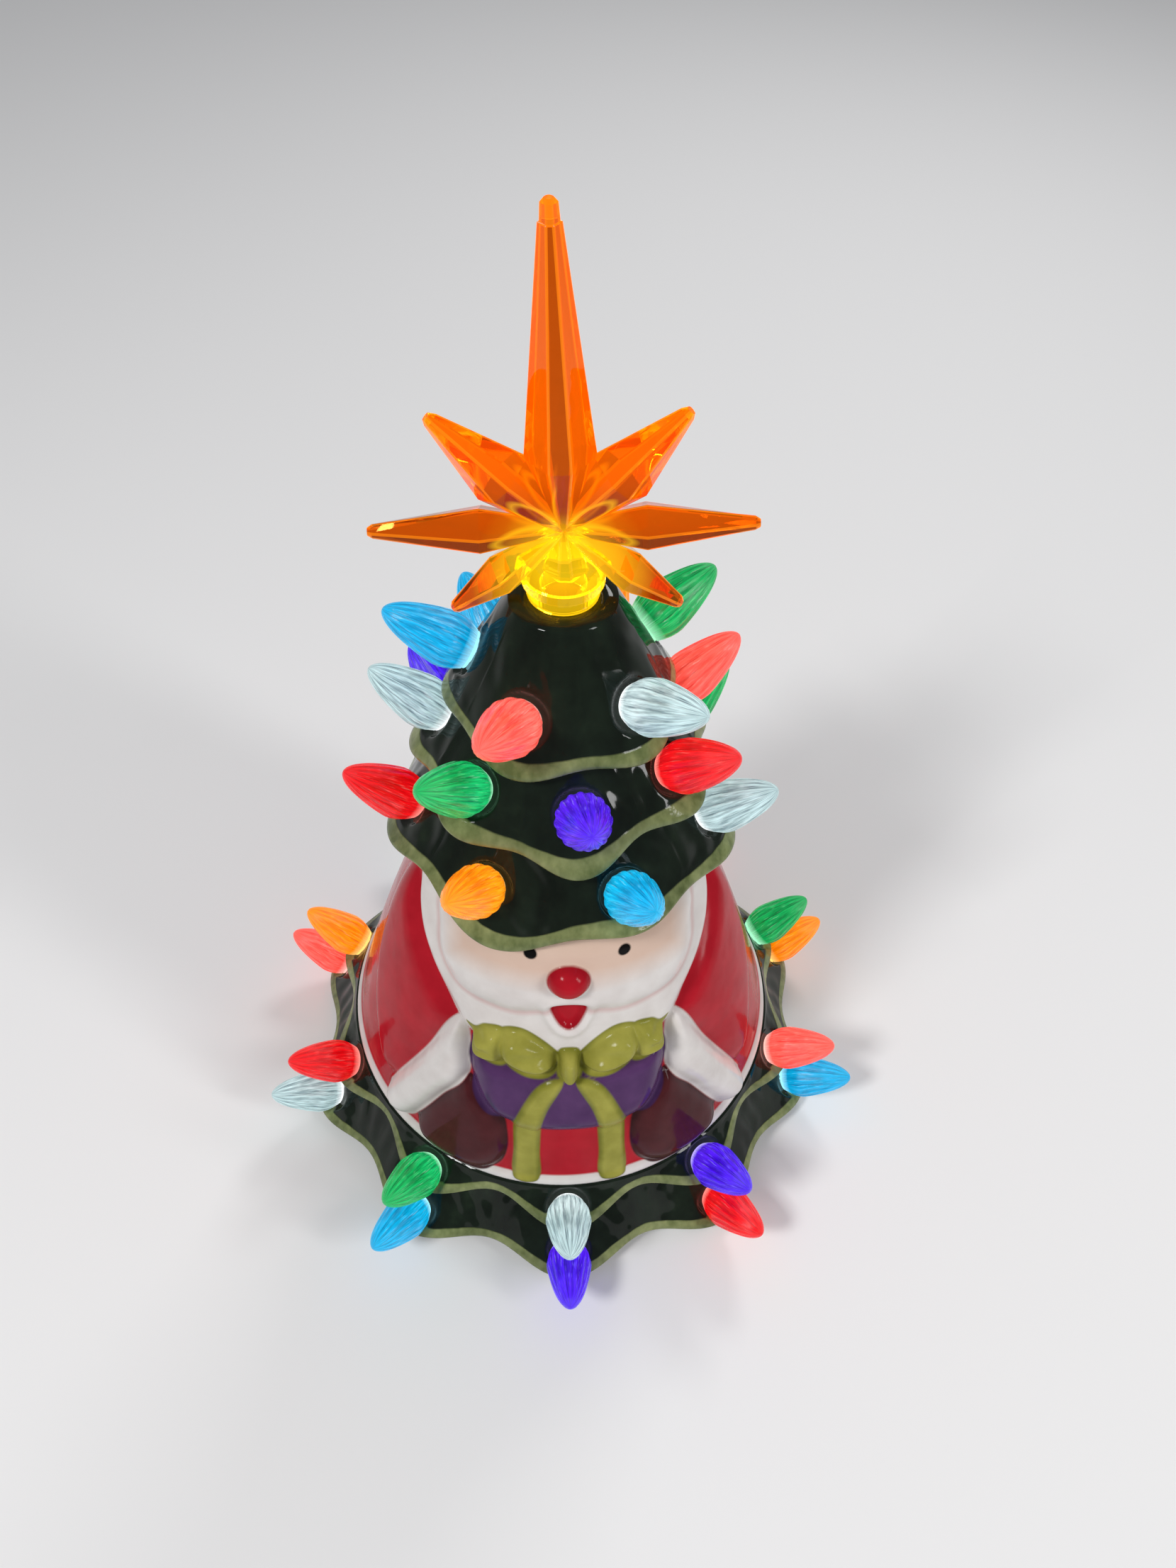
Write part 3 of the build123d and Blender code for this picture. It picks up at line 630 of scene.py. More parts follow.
# %% Curves on the figure's skin
FIGURE_FOOT, FIGURE_TOP, FIGURE_HEIGHT, FIGURE_BULGE = 63.5, 31.0, 96.0, 1.8
FIGURE_Z, FIGURE_WALL = 31.0, 4.0
FACE_TURN = radians(2.3)


def mirrored(half):
    """A curve that crosses the figure's middle, from its right half."""
    return half + [(-x, y) for x, y in reversed(half) if x > 0]


CURVES = {
    "beard": mirrored([(0, 48), (12, 48.5), (22, 50), (28, 53), (33, 59), (40, 66), (45, 73), (47, 82),
                       (44, 96), (0, 99)]),
    "cheeks": mirrored([(0, 69.5), (6, 67.8), (12, 66.4), (18, 66.4), (26.5, 67.6), (31.5, 72.5), (32.5, 79),
                        (29.5, 92), (0, 97)]),
    "mouth": mirrored([(0, 69.9), (3.2, 69.7), (4.2, 68.5), (3.5, 66), (1.9, 63), (0, 61.9)]),
    "gift": mirrored([(0, 23.3), (8, 23.4), (15.4, 24.8), (21.5, 27.3), (25.5, 33.5), (26.8, 41), (26.5, 48),
                      (23, 52), (0, 53)]),
    "knot": mirrored([(0, 56.4), (2.4, 55.6), (3.2, 51.5), (2.8, 47.6), (0, 46)]),
    "sleeve": [(29, 53), (42, 36.5), (58, 13.5), (68, 20), (74, 45), (66, 68), (52, 78), (42, 67)],
    "cuff": [(27.5, 37), (36.5, 24), (45, 11.5), (51, 4.5), (57, 3.5), (60, 8), (57.5, 13.5), (42, 36.5),
             (31, 54), (27, 52)],
    "mitten": [(27.5, 37), (36.5, 25), (46.5, 10.5), (46, 3.5), (40, 1), (31, 0.8), (24.5, 2), (19, 7.5),
               (17, 17), (19, 29)],
    "loop": [(1.5, 52), (4.5, 57), (10.5, 61.2), (16, 60.2), (18.6, 55.5), (17, 50), (10.5, 46.8),
             (4.5, 47.4)],
    "bow_end": [(15, 59.5), (20, 59.6), (23, 57.4), (26, 57), (24.6, 53.6), (25.6, 50.6), (22, 48.2),
                (15, 49)],
    "tail": [(1.4, 46.5), (5.4, 36), (7.3, 27.5), (8.2, 14), (8.6, 2.8), (15.8, 2.6), (15.6, 14), (15.2, 25),
             (13.6, 31), (7.6, 44.5)],
}
NOSE_HEIGHT, NOSE_RADIUS, NOSE_BALL, NOSE_STRETCH = 78.2, 4.7, 5.1, 1.3
EYES, EYE_RADIUS = ((-8.0, 85.3), (12.0, 84.3)), 1.45
FLESH_HEIGHT, FLESH_WIDTH = 77.5, 27
HEM_HEIGHT = 3.8
print("figure curves:", ", ".join(CURVES))

# %% [markdown]
# A few points make a smooth closed curve, and the distance to it, positive inside, can then be found for
# every vertex at once.


# %% Depth inside a curve
def smooth_loop(points, steps=8):
    """A closed curve that passes smoothly through a few points."""
    b = np.array(points, float)
    a, c, d = np.roll(b, 1, 0), np.roll(b, -1, 0), np.roll(b, -2, 0)
    loop = []
    for t in np.arange(steps) / steps:
        loop.append(b + t / 2 * (c - a + t * (2 * a - 5 * b + 4 * c - d + t * (3 * (b - c) + d - a))))
    return np.stack(loop, axis=1).reshape(-1, 2)


def depth_in(points, across, height):
    """How deep places lie inside a closed curve, in millimetres; outside it is negative."""
    loop = smooth_loop(points)
    nearest, inside = np.full(across.shape, np.inf), np.zeros(across.shape, bool)
    for (x, y), (next_x, next_y) in zip(loop, np.roll(loop, -1, 0)):
        run, rise = next_x - x, next_y - y
        t = np.clip(((across - x) * run + (height - y) * rise) / (run**2 + rise**2), 0, 1)
        nearest = np.minimum(nearest, np.hypot(across - x - t * run, height - y - t * rise))
        if rise:
            inside ^= ((y > height) != (next_y > height)) & (across < x + (height - y) * run / rise)
    return np.where(inside, nearest, -nearest)


def figure_radius(height):
    share = height / FIGURE_HEIGHT
    return FIGURE_FOOT + (FIGURE_TOP - FIGURE_FOOT) * share + 4 * FIGURE_BULGE * share * (1 - share)


print("figure foot and top radius:", figure_radius(0), figure_radius(FIGURE_HEIGHT))

# %% [markdown]
# The plain shell comes first: the cone outside, a collar that centres the hat, and the wall inside. It is a
# casting too, so it is hollow from foot to collar.

# %% Shell of the figure
FIGURE_ROWS, FIGURE_COLUMNS = 190, 400
COLLAR = [(21.6, 127), (21.6, 131), (18.6, 131), (18.6, 123)]
INNER_HEIGHTS = (88, 60, 30, 0)


def figure_shell():
    heights = np.linspace(0, FIGURE_HEIGHT, FIGURE_ROWS)
    outline = [(figure_radius(h), FIGURE_Z + h, 1) for h in heights]
    outline += [(r, z, 0) for r, z in COLLAR]
    outline += [(figure_radius(h) - FIGURE_WALL, FIGURE_Z + h, 0) for h in INNER_HEIGHTS]
    return mesh_from(spun(outline, FIGURE_COLUMNS, ("outer",)), "figure_glazed")


figure_mesh = figure_shell()
print("figure shell:", len(figure_mesh.vertices), "vertices")

# %% [markdown]
# Forms are built up in the order in which a modeller would add clay. A form either lifts the skin to its own
# height, with a rounded edge, or adds to what is already there. Small folds and pleats come last.

# %% Relief of the figure
# forms that lift the skin, and forms that add to it: name, height in mm, width of the rounded edge
LIFTED = (("sleeve", 3.2, 9), ("mitten", 4.2, 7), ("beard", 4.0, 8), ("cuff", 4.6, 5), ("gift", 6.0, 9))
ADDED = (("cheeks", 2.0, 6), ("tail", 1.1, 1.4))
BOW_LIFTED = (("bow_end", 7.4, 4), ("loop", 9.0, 6), ("knot", 9.6, 3))
HEM_PROUD, HEM_EDGE = 1.0, 1.5
LIP_PROUD, LIP_WIDTH, MOUTH_DEPTH, MOUTH_EDGE = 0.8, 1.2, 1.6, 1.8
BOW_HEIGHT, PLEAT_DEPTH, PLEAT_TURN, PLEAT_SLANT = 53, 0.5, 1.9, 0.25
FOLD_DEPTH, FOLD_WIDTH, FOLD_START, FOLD_END = 1.3, 1.1, 3, (9, 15)
FOLD_SLANT, FOLD_SPREAD = 0.22, 0.04
FOLD_FADE, LOOP_FADE = (0, 2), (-2, 1)  # depths in a form, over which folds come or go
COAT_FOLDS, COAT_FOLD_DEPTH, COAT_BACK = 9, 0.5, (1.6, 2.2)  # soft folds, round the back of the coat
BRIM_START, BRIM_FADE = 84, 0.75  # under the brim, relief sinks by this share


def rounded(depth, width):
    """Height of a form's rounded edge, from 0 at its curve to 1 at that depth inside."""
    return 1 - (1 - np.clip(depth / width, 0, 1)) ** 2


def figure_relief(deep, across, height, azimuth, nose_away):
    """How far the skin stands proud of the plain cone."""
    relief = HEM_PROUD * rounded(HEM_HEIGHT - height, HEM_EDGE)
    for form, proud, edge in LIFTED:
        relief = np.maximum(relief, proud * rounded(deep[form], edge))
    for form, proud, edge in ADDED:
        relief += proud * rounded(deep[form], edge)
    for form, proud, edge in BOW_LIFTED:
        relief = np.maximum(relief, proud * rounded(deep[form], edge))
    lip = LIP_PROUD * np.exp(-(((deep["mouth"] + LIP_WIDTH) / LIP_WIDTH) ** 2))
    relief += lip - MOUTH_DEPTH * rounded(deep["mouth"], MOUTH_EDGE)
    ball = np.sqrt(np.clip(NOSE_BALL**2 - nose_away**2, 0, None)) - np.sqrt(NOSE_BALL**2 - NOSE_RADIUS**2)
    relief += NOSE_STRETCH * np.clip(ball, 0, None)
    pleat = np.sin(PLEAT_TURN * (height - BOW_HEIGHT) + PLEAT_SLANT * across)
    relief += PLEAT_DEPTH * pleat * ramp(deep["bow_end"], *FOLD_FADE) * (1 - ramp(deep["loop"], *LOOP_FADE))
    fold_away = np.abs(height - BOW_HEIGHT - FOLD_SLANT * (across - FOLD_START)) - FOLD_SPREAD * across
    fold = FOLD_DEPTH * np.exp(-((fold_away / FOLD_WIDTH) ** 2))
    relief -= fold * ramp(deep["loop"], *FOLD_FADE) * (1 - ramp(across, *FOLD_END))
    coat_fold = COAT_FOLD_DEPTH * np.sin(COAT_FOLDS * azimuth) * ramp(np.abs(azimuth), *COAT_BACK)
    relief += coat_fold * (1 - height / FIGURE_HEIGHT)
    return relief * (1 - BRIM_FADE * ramp(height, BRIM_START, FIGURE_HEIGHT))


print("relief:", len(LIFTED) + len(ADDED) + len(BOW_LIFTED), "forms besides nose, mouth, hem and folds")

# %% [markdown]
# The shell's columns are drawn towards the front, where the detail is, and the relief is pushed out square
# to the cone. Each paint gets a layer that says how deep a place lies inside it, so paint and relief share
# their edges. Last, the clay is smoothed a little.

# %% Shape the figure
FRONT_PULL, FOOT_BLEND, SMOOTH_ROUNDS = 0.55, 8, 2


def shape_figure(mesh):
    """Pushes out the relief, and keeps how deep each place lies in each paint."""
    outer = layer_of(mesh, "outer")
    azimuth, radius, height = round_z(mesh)
    azimuth -= FRONT_PULL * np.sin(azimuth)
    height = height - FIGURE_Z
    turned = (azimuth - FACE_TURN + pi) % (2 * pi) - pi
    sideways = turned * figure_radius(height)
    across = np.abs(sideways)
    deep = {name: depth_in(curve, across, height) for name, curve in CURVES.items()}
    nose_away = np.hypot(across, height - NOSE_HEIGHT)
    eye_away = np.minimum.reduce([np.hypot(sideways - x, height - y) for x, y in EYES])
    hem = np.where(outer > 0.5, HEM_HEIGHT - height, -HEM_HEIGHT)
    set_layer(mesh, "white", np.maximum.reduce([deep["beard"], deep["cuff"], hem]))
    set_layer(mesh, "flesh", np.minimum(height - FLESH_HEIGHT, FLESH_WIDTH - across))
    set_layer(mesh, "cheeks", deep["cheeks"])
    set_layer(mesh, "mitten", np.minimum(deep["mitten"], -deep["cuff"]))
    set_layer(mesh, "gift", deep["gift"])
    set_layer(mesh, "bow", np.maximum.reduce([deep[form] for form in ("loop", "bow_end", "knot", "tail")]))
    set_layer(mesh, "red_dots", np.maximum(NOSE_RADIUS - nose_away, deep["mouth"]))
    set_layer(mesh, "eyes", EYE_RADIUS - eye_away)

    relief = outer * figure_relief(deep, across, height, azimuth, nose_away)
    lean = (FIGURE_FOOT - FIGURE_TOP) / FIGURE_HEIGHT
    radius = radius + relief / hypot(1, lean)
    height = height + relief * lean / hypot(1, lean) * ramp(height, 0, FOOT_BLEND)
    mesh.vertices.foreach_set("co", from_round_z(azimuth, radius, height + FIGURE_Z).ravel())
    mesh.update()


def relaxed(mesh, rounds):
    """Glaze fills sharp creases, so the clay is smoothed a little."""
    bm = bmesh.new()
    bm.from_mesh(mesh)
    for _ in range(rounds):
        bmesh.ops.smooth_vert(
            bm, verts=bm.verts, factor=0.5, use_axis_x=True, use_axis_y=True, use_axis_z=True
        )
    bm.to_mesh(mesh)
    bm.free()


shape_figure(figure_mesh)
relaxed(figure_mesh, SMOOTH_ROUNDS)
print("figure modelled:", len(figure_mesh.vertices), "vertices")

# %% [markdown]
# Underglaze paint under a clear gloss. Each colour is brushed, so it varies a little, and it is darker along
# the edge of its form, where paint pools and painted shade lies in the crease. The flesh tone on the face fades
# out as if sprayed.

# %% Figure glaze
PAINTS = [
    # layer, edge softness in mm, darker and lighter shade
    ("white", 0.5, (0.66, 0.60, 0.57), (0.84, 0.80, 0.77)),
    ("mitten", 0.5, (0.045, 0.009, 0.011), (0.090, 0.018, 0.021)),
    ("gift", 0.5, (0.050, 0.018, 0.075), (0.110, 0.045, 0.145)),
    ("bow", 0.5, (0.190, 0.190, 0.022), (0.430, 0.400, 0.080)),
    ("red_dots", 0.5, (0.34, 0.006, 0.014), (0.52, 0.012, 0.024)),
    ("eyes", 0.4, (0.004, 0.004, 0.004), (0.010, 0.009, 0.009)),
]
COAT_SHADES = (0.36, 0.008, 0.016), (0.56, 0.016, 0.030)
FLESH, FLESH_STRENGTH, FLESH_FADE = (0.72, 0.47, 0.34), 0.75, 7
# pink painted shade in the crease round the cheeks: colour, strength, width in mm
CREASE_SHADE, CREASE_SHADE_STRENGTH, CREASE_SHADE_WIDTH = (0.62, 0.36, 0.34), 0.55, 1.3
POOL_AND_SHADE_WIDTH, POOL_AND_SHADE_DEPTH = 1.6, 0.6  # along the edge of a form, paint pools darker, and painted shade lies in its crease
PAINT_SCALE, PAINT_GAIN, SWIM_SCALE, SWIM_DEPTH = 150, 1.3, 70, 0.0005
PAINT_ROUGHNESS = (0.08, 0.12)  # least, and what the brush adds


def figure_glaze():
    material, shader, wire = new_finish("figure_glaze", Specular_IOR_Level=0.08)
    brush = noise(wire, PAINT_SCALE, 4)
    colour = brush.mix(*COAT_SHADES)
    for layer, softness, dark, light in PAINTS:
        inside = attribute(wire, layer)
        painted = within(inside, softness)
        # Darker along the edge of each form: pooled paint, and painted shade in the crease.
        pooled_and_shaded = (1 - inside / POOL_AND_SHADE_WIDTH).clamped() * POOL_AND_SHADE_DEPTH
        colour = painted.mix(colour, (brush * PAINT_GAIN - pooled_and_shaded).clamped().mix(dark, light))
        if layer == "white":
            cheeks = attribute(wire, "cheeks")
            face = within(attribute(wire, "flesh"), FLESH_FADE) * within(cheeks - 1, 2)
            colour = (face * FLESH_STRENGTH).mix(colour, FLESH)
            # A pink painted shade lies in the crease just outside the edge of the cheeks.
            crease_shade = (1 - abs(cheeks + 0.4) / CREASE_SHADE_WIDTH).clamped()
            colour = (crease_shade * painted * CREASE_SHADE_STRENGTH).mix(colour, CREASE_SHADE)
    feed(shader, "Base Color", colour)
    feed(shader, "Roughness", PAINT_ROUGHNESS[0] + brush * PAINT_ROUGHNESS[1])
    bumped(wire, shader, noise(wire, SWIM_SCALE, 2), SWIM_DEPTH)
    return material


piece("figure_glazed", figure_mesh, figure_glaze(), "tree", "santa_body")

# %% [markdown]
# ## Bulbs
# A push-in bulb is a solid drop of clear coloured plastic with sixteen flutes, a rim that rests on the glaze
# and a peg that leads the lamp light in. It is spun once, fluted, and then set on every seat. Fine streaks
# run along it, so each vertex also keeps its own place on a straightened bulb, for noise that is drawn out
# lengthwise.

# %% Model one bulb
BULB_RADIUS, BULB_BELLY, BULB_ROWS, BULB_START = 6.45, 0.32, 26, 0.05
NECK_DRAW, NOSE_CURVE = 0.33, 1.2
BULB_FLUTES, FLUTE_COLUMNS, FLUTE_DEPTH, FLUTE_CREST = 16, 6, 0.055, 0.7
FLUTE_START, FLUTE_END = (0.06, 0.2), (0.8, 1)  # shares of the length, over which the flutes come and go
RIM_RADIUS, PEG_RADIUS, PEG_LENGTH = 4.6, 2.6, 7.0
BULB_FOOT = [(0, -PEG_LENGTH), (2.2, -PEG_LENGTH), (PEG_RADIUS, 0.5 - PEG_LENGTH), (PEG_RADIUS, 0.3),
             (4.4, 0.3), (RIM_RADIUS, 0.5), (RIM_RADIUS, 0.9), (4.35, 1.1)]
STREAK_DRAW = 0.35


def bulb_radius(share):
    """Radius of the drop along its length: swelling to the belly, then drawn out to a soft point."""
    if share < BULB_BELLY:
        return BULB_RADIUS * (1 - NECK_DRAW * (1 - share / BULB_BELLY) ** 2)
    return BULB_RADIUS * max(0, 1 - ((share - BULB_BELLY) / (1 - BULB_BELLY)) ** NOSE_CURVE) ** 0.5


def bulb_mesh(name):
    shares = 1 - np.linspace((1 - BULB_START) ** 0.5, 0, BULB_ROWS) ** 2
    body = [(bulb_radius(t), BULB_LENGTH * t) for t in shares]
    mesh = mesh_from(spun(BULB_FOOT + body, FLUTE_COLUMNS * BULB_FLUTES, closed=False), name)
    azimuth, radius, height = round_z(mesh)
    along = height / BULB_LENGTH
    flute = np.cos(BULB_FLUTES * azimuth) * ramp(along, *FLUTE_START) * (1 - ramp(along, *FLUTE_END))
    radius = radius * (1 + FLUTE_DEPTH * (np.abs(flute) ** FLUTE_CREST * np.sign(flute) - 1) / 2)
    mesh.vertices.foreach_set("co", from_round_z(azimuth, radius, height).ravel())
    set_layer(mesh, "along", along)
    set_layer(mesh, "flute", flute)
    set_layer(mesh, "grain", np.stack((np.sin(azimuth), np.cos(azimuth), STREAK_DRAW * along), axis=1))
    return mesh


print("bulb model ready")

# %% [markdown]
# The bulbs are lit from inside their pegs. The plastic is clear but streaky, so a bulb glows in its own
# colour, darker in some streaks and paler in others. Painted shade darkens the flute valleys, painted light
# brightens the ridges, and a few painted glints sparkle. It is palest at the rim, where the light comes in.

# %% Bulb finishes
BULB_COLOURS = {
    # slot: deep colour in the streaks and flute valleys (there a painted shade), body colour, colour at the lit
    # rim
    "bulb_red": ((0.34, 0.001, 0.003), (0.80, 0.004, 0.008), (1.0, 0.36, 0.30)),
    "bulb_coral": ((0.62, 0.040, 0.032), (0.95, 0.150, 0.115), (1.0, 0.66, 0.58)),
    "bulb_orange": ((0.58, 0.125, 0.001), (0.98, 0.340, 0.004), (1.0, 0.76, 0.26)),
    "bulb_green": ((0.001, 0.120, 0.035), (0.004, 0.480, 0.120), (0.50, 1.0, 0.68)),
    "bulb_blue": ((0.001, 0.150, 0.290), (0.002, 0.450, 0.760), (0.50, 0.95, 1.0)),
    "bulb_purple": ((0.018, 0.001, 0.230), (0.080, 0.008, 0.850), (0.66, 0.58, 1.0)),
    "bulb_clear": ((0.07, 0.11, 0.13), (0.54, 0.70, 0.71), (1.0, 1.0, 1.0)),
}
RIM_GLOW, GLINT_GLOW, BODY_GLOW = 0.15, 0.3, 0.5
# flute valleys get painted shade and flute ridges painted light
STREAK_SCALE, STREAK_CONTRAST, STREAK_MIDDLE, FLUTE_PAINTED_SHADE = 12.0, 2.7, 0.60, 0.12
# glints are painted highlights: bright specks of noise in the glow
GLINT_SCALE, GLINT_START, GLINT_CONTRAST = 19.0, 0.60, 5
BULB_ROUGHNESS, STREAK_RELIEF = (0.06, 0.12), 0.0003  # least, and what the streaks add; depth in metres


def bulb_finish(slot):
    deep, body, lit = BULB_COLOURS[slot]
    material, shader, wire = new_finish(slot, Emission_Strength=1.0, Transmission_Weight=0.4, IOR=1.49)
    grain = attribute(wire, "grain", "Vector")
    streaks = wire.node("TexNoise", inputs={"Vector": grain, "Scale": STREAK_SCALE, "Detail": 5.0})
    glints = wire.node("TexNoise", inputs={"Vector": grain, "Scale": GLINT_SCALE, "Detail": 2.0})
    # The flutes are painted darker in their valleys and lighter on their ridges: painted shade and light.
    flute_painted_shade = attribute(wire, "flute") * FLUTE_PAINTED_SHADE
    bright = ((streaks - 0.5) * STREAK_CONTRAST + flute_painted_shade + STREAK_MIDDLE).clamped()
    rim = (1 - attribute(wire, "along") / RIM_GLOW).clamped()
    # Bright specks of noise are painted glints.
    painted_glint = ((glints - GLINT_START) * GLINT_CONTRAST).clamped() * GLINT_GLOW
    glowing = bright.mix(*(tuple(BODY_GLOW * c for c in colour) for colour in (deep, body)))
    feed(shader, "Base Color", bright.mix(deep, body))
    feed(shader, "Emission Color", (rim + painted_glint).clamped().mix(glowing, lit))
    feed(shader, "Roughness", BULB_ROUGHNESS[0] + streaks * BULB_ROUGHNESS[1])
    bumped(wire, shader, streaks, STREAK_RELIEF)
    return material


bulb_finishes = {slot: bulb_finish(slot) for slot in BULB_COLOURS}
print("bulb finishes:", len(bulb_finishes))

# %% [markdown]
# Every bulb is a copy of that one mesh, turned along its seat's axis and moved onto the seat. It rides on its
# own body, so it can be pulled out of its socket.

# %% Set a bulb on every seat
one_bulb = bulb_mesh("bulb_fluted")
for node, (seat, axis) in seats.items():
    mesh = one_bulb.copy()
    mesh.transform(Matrix.Translation(seat) @ axis.to_track_quat("Z", "Y").to_matrix().to_4x4())
    piece(node + "_fluted", mesh, bulb_finishes[slot_of[node]], node, node)

# %% [markdown]
# ## Star
# The star is one moulding of clear amber acrylic: seven six-sided points that widen to a waist and narrow
# again to a blunt tip, and an eighth that ends at its waist, in a cup that stands in the hat. Each point is
# a six-sided ring drawn out ring by ring and lightly bevelled, and a boolean union makes them one skin, so
# light passes as through one solid.

# %% Model a point of the star
STAR_CENTRE = Vector((0, 0, 214.0))
STAR_LEAN, STAR_EDGE, STAR_VALLEY, STAR_FLAT = -2.3, 0.4, 16.5, 0.3
STAR_HALF_DEPTH, STAR_CORE = 5.8, 0.3
SPIKE_LENGTH, SPIKE_WIDTH, SIDE_WIDTH, LOWER_WIDTH, STEM_WIDTH = 64.5, 7.1, 5.0, 4.7, 6.6
# rings of a tip: half width, half depth, and rise from the point's full length
POINT_TIP = [(1.8, 1.5, -1.0), (1.1, 0.9, 0.0)]
SPIKE_TIP = [(2.2, 1.8, -3.9), (1.85, 1.55, -3.7), (1.65, 1.35, -0.7), (1.0, 0.8, 0.0)]
STAR_POINTS = [
    # turn from the spike in degrees, length, half width in the valleys
    (-43, 35.4, SPIKE_WIDTH), (43, 35.4, SPIKE_WIDTH), (-90, 39, SIDE_WIDTH),
    (90, 39, SIDE_WIDTH), (-131, 31.8, LOWER_WIDTH), (131, 31.8, LOWER_WIDTH),
]


def star_point(turn, length, waist, tip=POINT_TIP):
    """One point: a six-sided ring with flat front and back, drawn out through the rings of its outline."""
    rings = [(waist, STAR_HALF_DEPTH, STAR_VALLEY)] + [(w, d, length + rise) for w, d, rise in tip]
    bm = bmesh.new()
    corners = bmesh.ops.create_circle(bm, segments=6, radius=1, cap_ends=True)["verts"]
    bmesh.ops.rotate(bm, verts=corners, matrix=Matrix.Rotation(pi / 2, 3, "Z"))
    flat = [v for v in corners if abs(v.co.y) > 0.1]
    bmesh.ops.scale(bm, verts=flat, vec=(STAR_FLAT / cos(pi / 3), 1 / sin(pi / 3), 1))
    width, depth, rise = STAR_CORE * waist, STAR_CORE * STAR_HALF_DEPTH, 0.0
    bmesh.ops.scale(bm, verts=corners, vec=(width, depth, 1))
    edges = list(bm.edges)
    for next_width, next_depth, next_rise in rings:
        made = bmesh.ops.extrude_edge_only(bm, edges=edges)["geom"]
        corners = [g for g in made if isinstance(g, bmesh.types.BMVert)]
        edges = [g for g in made if isinstance(g, bmesh.types.BMEdge)]
        bmesh.ops.scale(bm, verts=corners, vec=(next_width / width, next_depth / depth, 1))
        bmesh.ops.translate(bm, verts=corners, vec=(0, 0, next_rise - rise))
        width, depth, rise = next_width, next_depth, next_rise
    edges = [e for e in edges if e.is_boundary]
    bmesh.ops.contextual_create(bm, geom=edges)
    bmesh.ops.recalc_face_normals(bm, faces=bm.faces)
    lengthwise = [e for e in bm.edges if abs(e.verts[0].co.z - e.verts[1].co.z) > STAR_EDGE]
    bmesh.ops.bevel(
        bm, geom=lengthwise, offset=STAR_EDGE, segments=2, profile=0.5, affect="EDGES", material=-1,
        clamp_overlap=True,
    )
    bmesh.ops.rotate(bm, verts=bm.verts, matrix=Matrix.Rotation(radians(turn + STAR_LEAN), 3, "Y"))
    bmesh.ops.translate(bm, verts=bm.verts, vec=STAR_CENTRE)
    return mesh_from(bm, "star_point")


print("star: a spike,", len(STAR_POINTS), "points and a stem")

# %% [markdown]
# The cup is spun, and the points overlap in the middle, where walls left inside would show through the clear
# plastic, so the union takes them away. Faces that look sideways and the narrow faces of the bevelled edges
# are marked in layers, for the painted light of the finish.

# %% Join the star
STAR_CUP = [(0, 187.8), (4.6, 187.8), (5, 188.4), (5, 196.8), (7.0, 196.8), (7.7, 197.3), (7.9, 198.2),
            (7.9, 200.6), (8.8, 201.0), (8.8, 203.0), (8.4, 203.4), (0, 203.4)]
CUP_COLUMNS, EDGE_WIDTH = 48, 0.4


def united(meshes):
    """One closed mesh from several that overlap."""
    blocks = [bpy.data.objects.new("block", mesh) for mesh in meshes]
    for block in blocks:
        scene.collection.objects.link(block)
    for block in blocks[1:]:
        union = blocks[0].modifiers.new("union", "BOOLEAN")
        union.operation, union.solver, union.object = "UNION", "MANIFOLD", block
    whole = bpy.data.meshes.new_from_object(blocks[0].evaluated_get(bpy.context.evaluated_depsgraph_get()))
    for block in blocks:
        bpy.data.objects.remove(block)
    whole.materials.clear()
    return whole


def mean_width(mesh, face):
    """Twice a face's area over its way round: near its width, where it is long and narrow."""
    corners = [mesh.vertices[index].co for index in face.vertices]
    return 2 * face.area / sum((a - b).length for a, b in zip(corners, corners[1:] + corners[:1]))


star_cup = mesh_from(spun(STAR_CUP, CUP_COLUMNS, closed=False), "star_cup")
star_spike = star_point(0, SPIKE_LENGTH, SPIKE_WIDTH, SPIKE_TIP)
star_stem = star_point(180, STAR_VALLEY, STEM_WIDTH, [])
star_mesh = united([star_spike] + [star_point(*point) for point in STAR_POINTS] + [star_stem, star_cup])
faces = star_mesh.polygons
set_layer(star_mesh, "flank", [1 - abs(face.normal.y) for face in faces], "FACE")
set_layer(star_mesh, "edge", [mean_width(star_mesh, face) < EDGE_WIDTH for face in faces], "FACE")
print("star:", len(star_mesh.vertices), "vertices")

# %% [markdown]
# Clear amber: light that enters the cup from the hat's lamps runs along the points, and the cup glows with it.
# The rest is painted light: flanks and edges glow orange as if the light left there, the flat fronts get a
# deeper painted shade of the same amber, upper points are painted lighter than lower ones, and near the cup
# the amber is painted paler. Near the middle the inner walls of the points are painted as yellow petals of
# reflected light, and a few bubbles left in the casting are painted as glints.

# %% Amber acrylic
CUP_HEART, CUP_GLOW = STAR_CENTRE + Vector((0, 0, -13)), 19.0
UPPER_START, UPPER_RISE = 2, 12
# fronts: a deeper painted shade; flanks: painted light; both are the same amber
AMBER_FRONTS_PAINTED_SHADE, AMBER_FLANK_PAINTED_LIGHT = ((0.42, 0.062, 0.002), (0.64, 0.085, 0.001)), (0.84, 0.125, 0.002)
# near the cup the amber is painted paler and yellower: painted light; the glow there is the lamps' light
AMBER_CUP_PAINTED_LIGHT, CUP_LIGHT = (0.95, 0.62, 0.02), (1.0, 0.74, 0.01)
FLANK_LIGHTS, FLANK_GAIN = ((0.060, 0.008, 0.0), (0.62, 0.090, 0.0)), 2.2
# painted highlight on the bevelled edges, and painted glints for the bubbles
EDGE_PAINTED_HIGHLIGHT, EDGE_SHARE, BUBBLE_GLINT_SHARE = (1.0, 0.30, 0.01), 0.7, 0.5
# painted reflection of the points' inner walls, as yellow petals
PETAL_LIGHT, PETAL_SHARE = (1.0, 0.62, 0.01), 0.8
BUBBLE_SCALE, BUBBLE_RADIUS = 190.0, 0.09
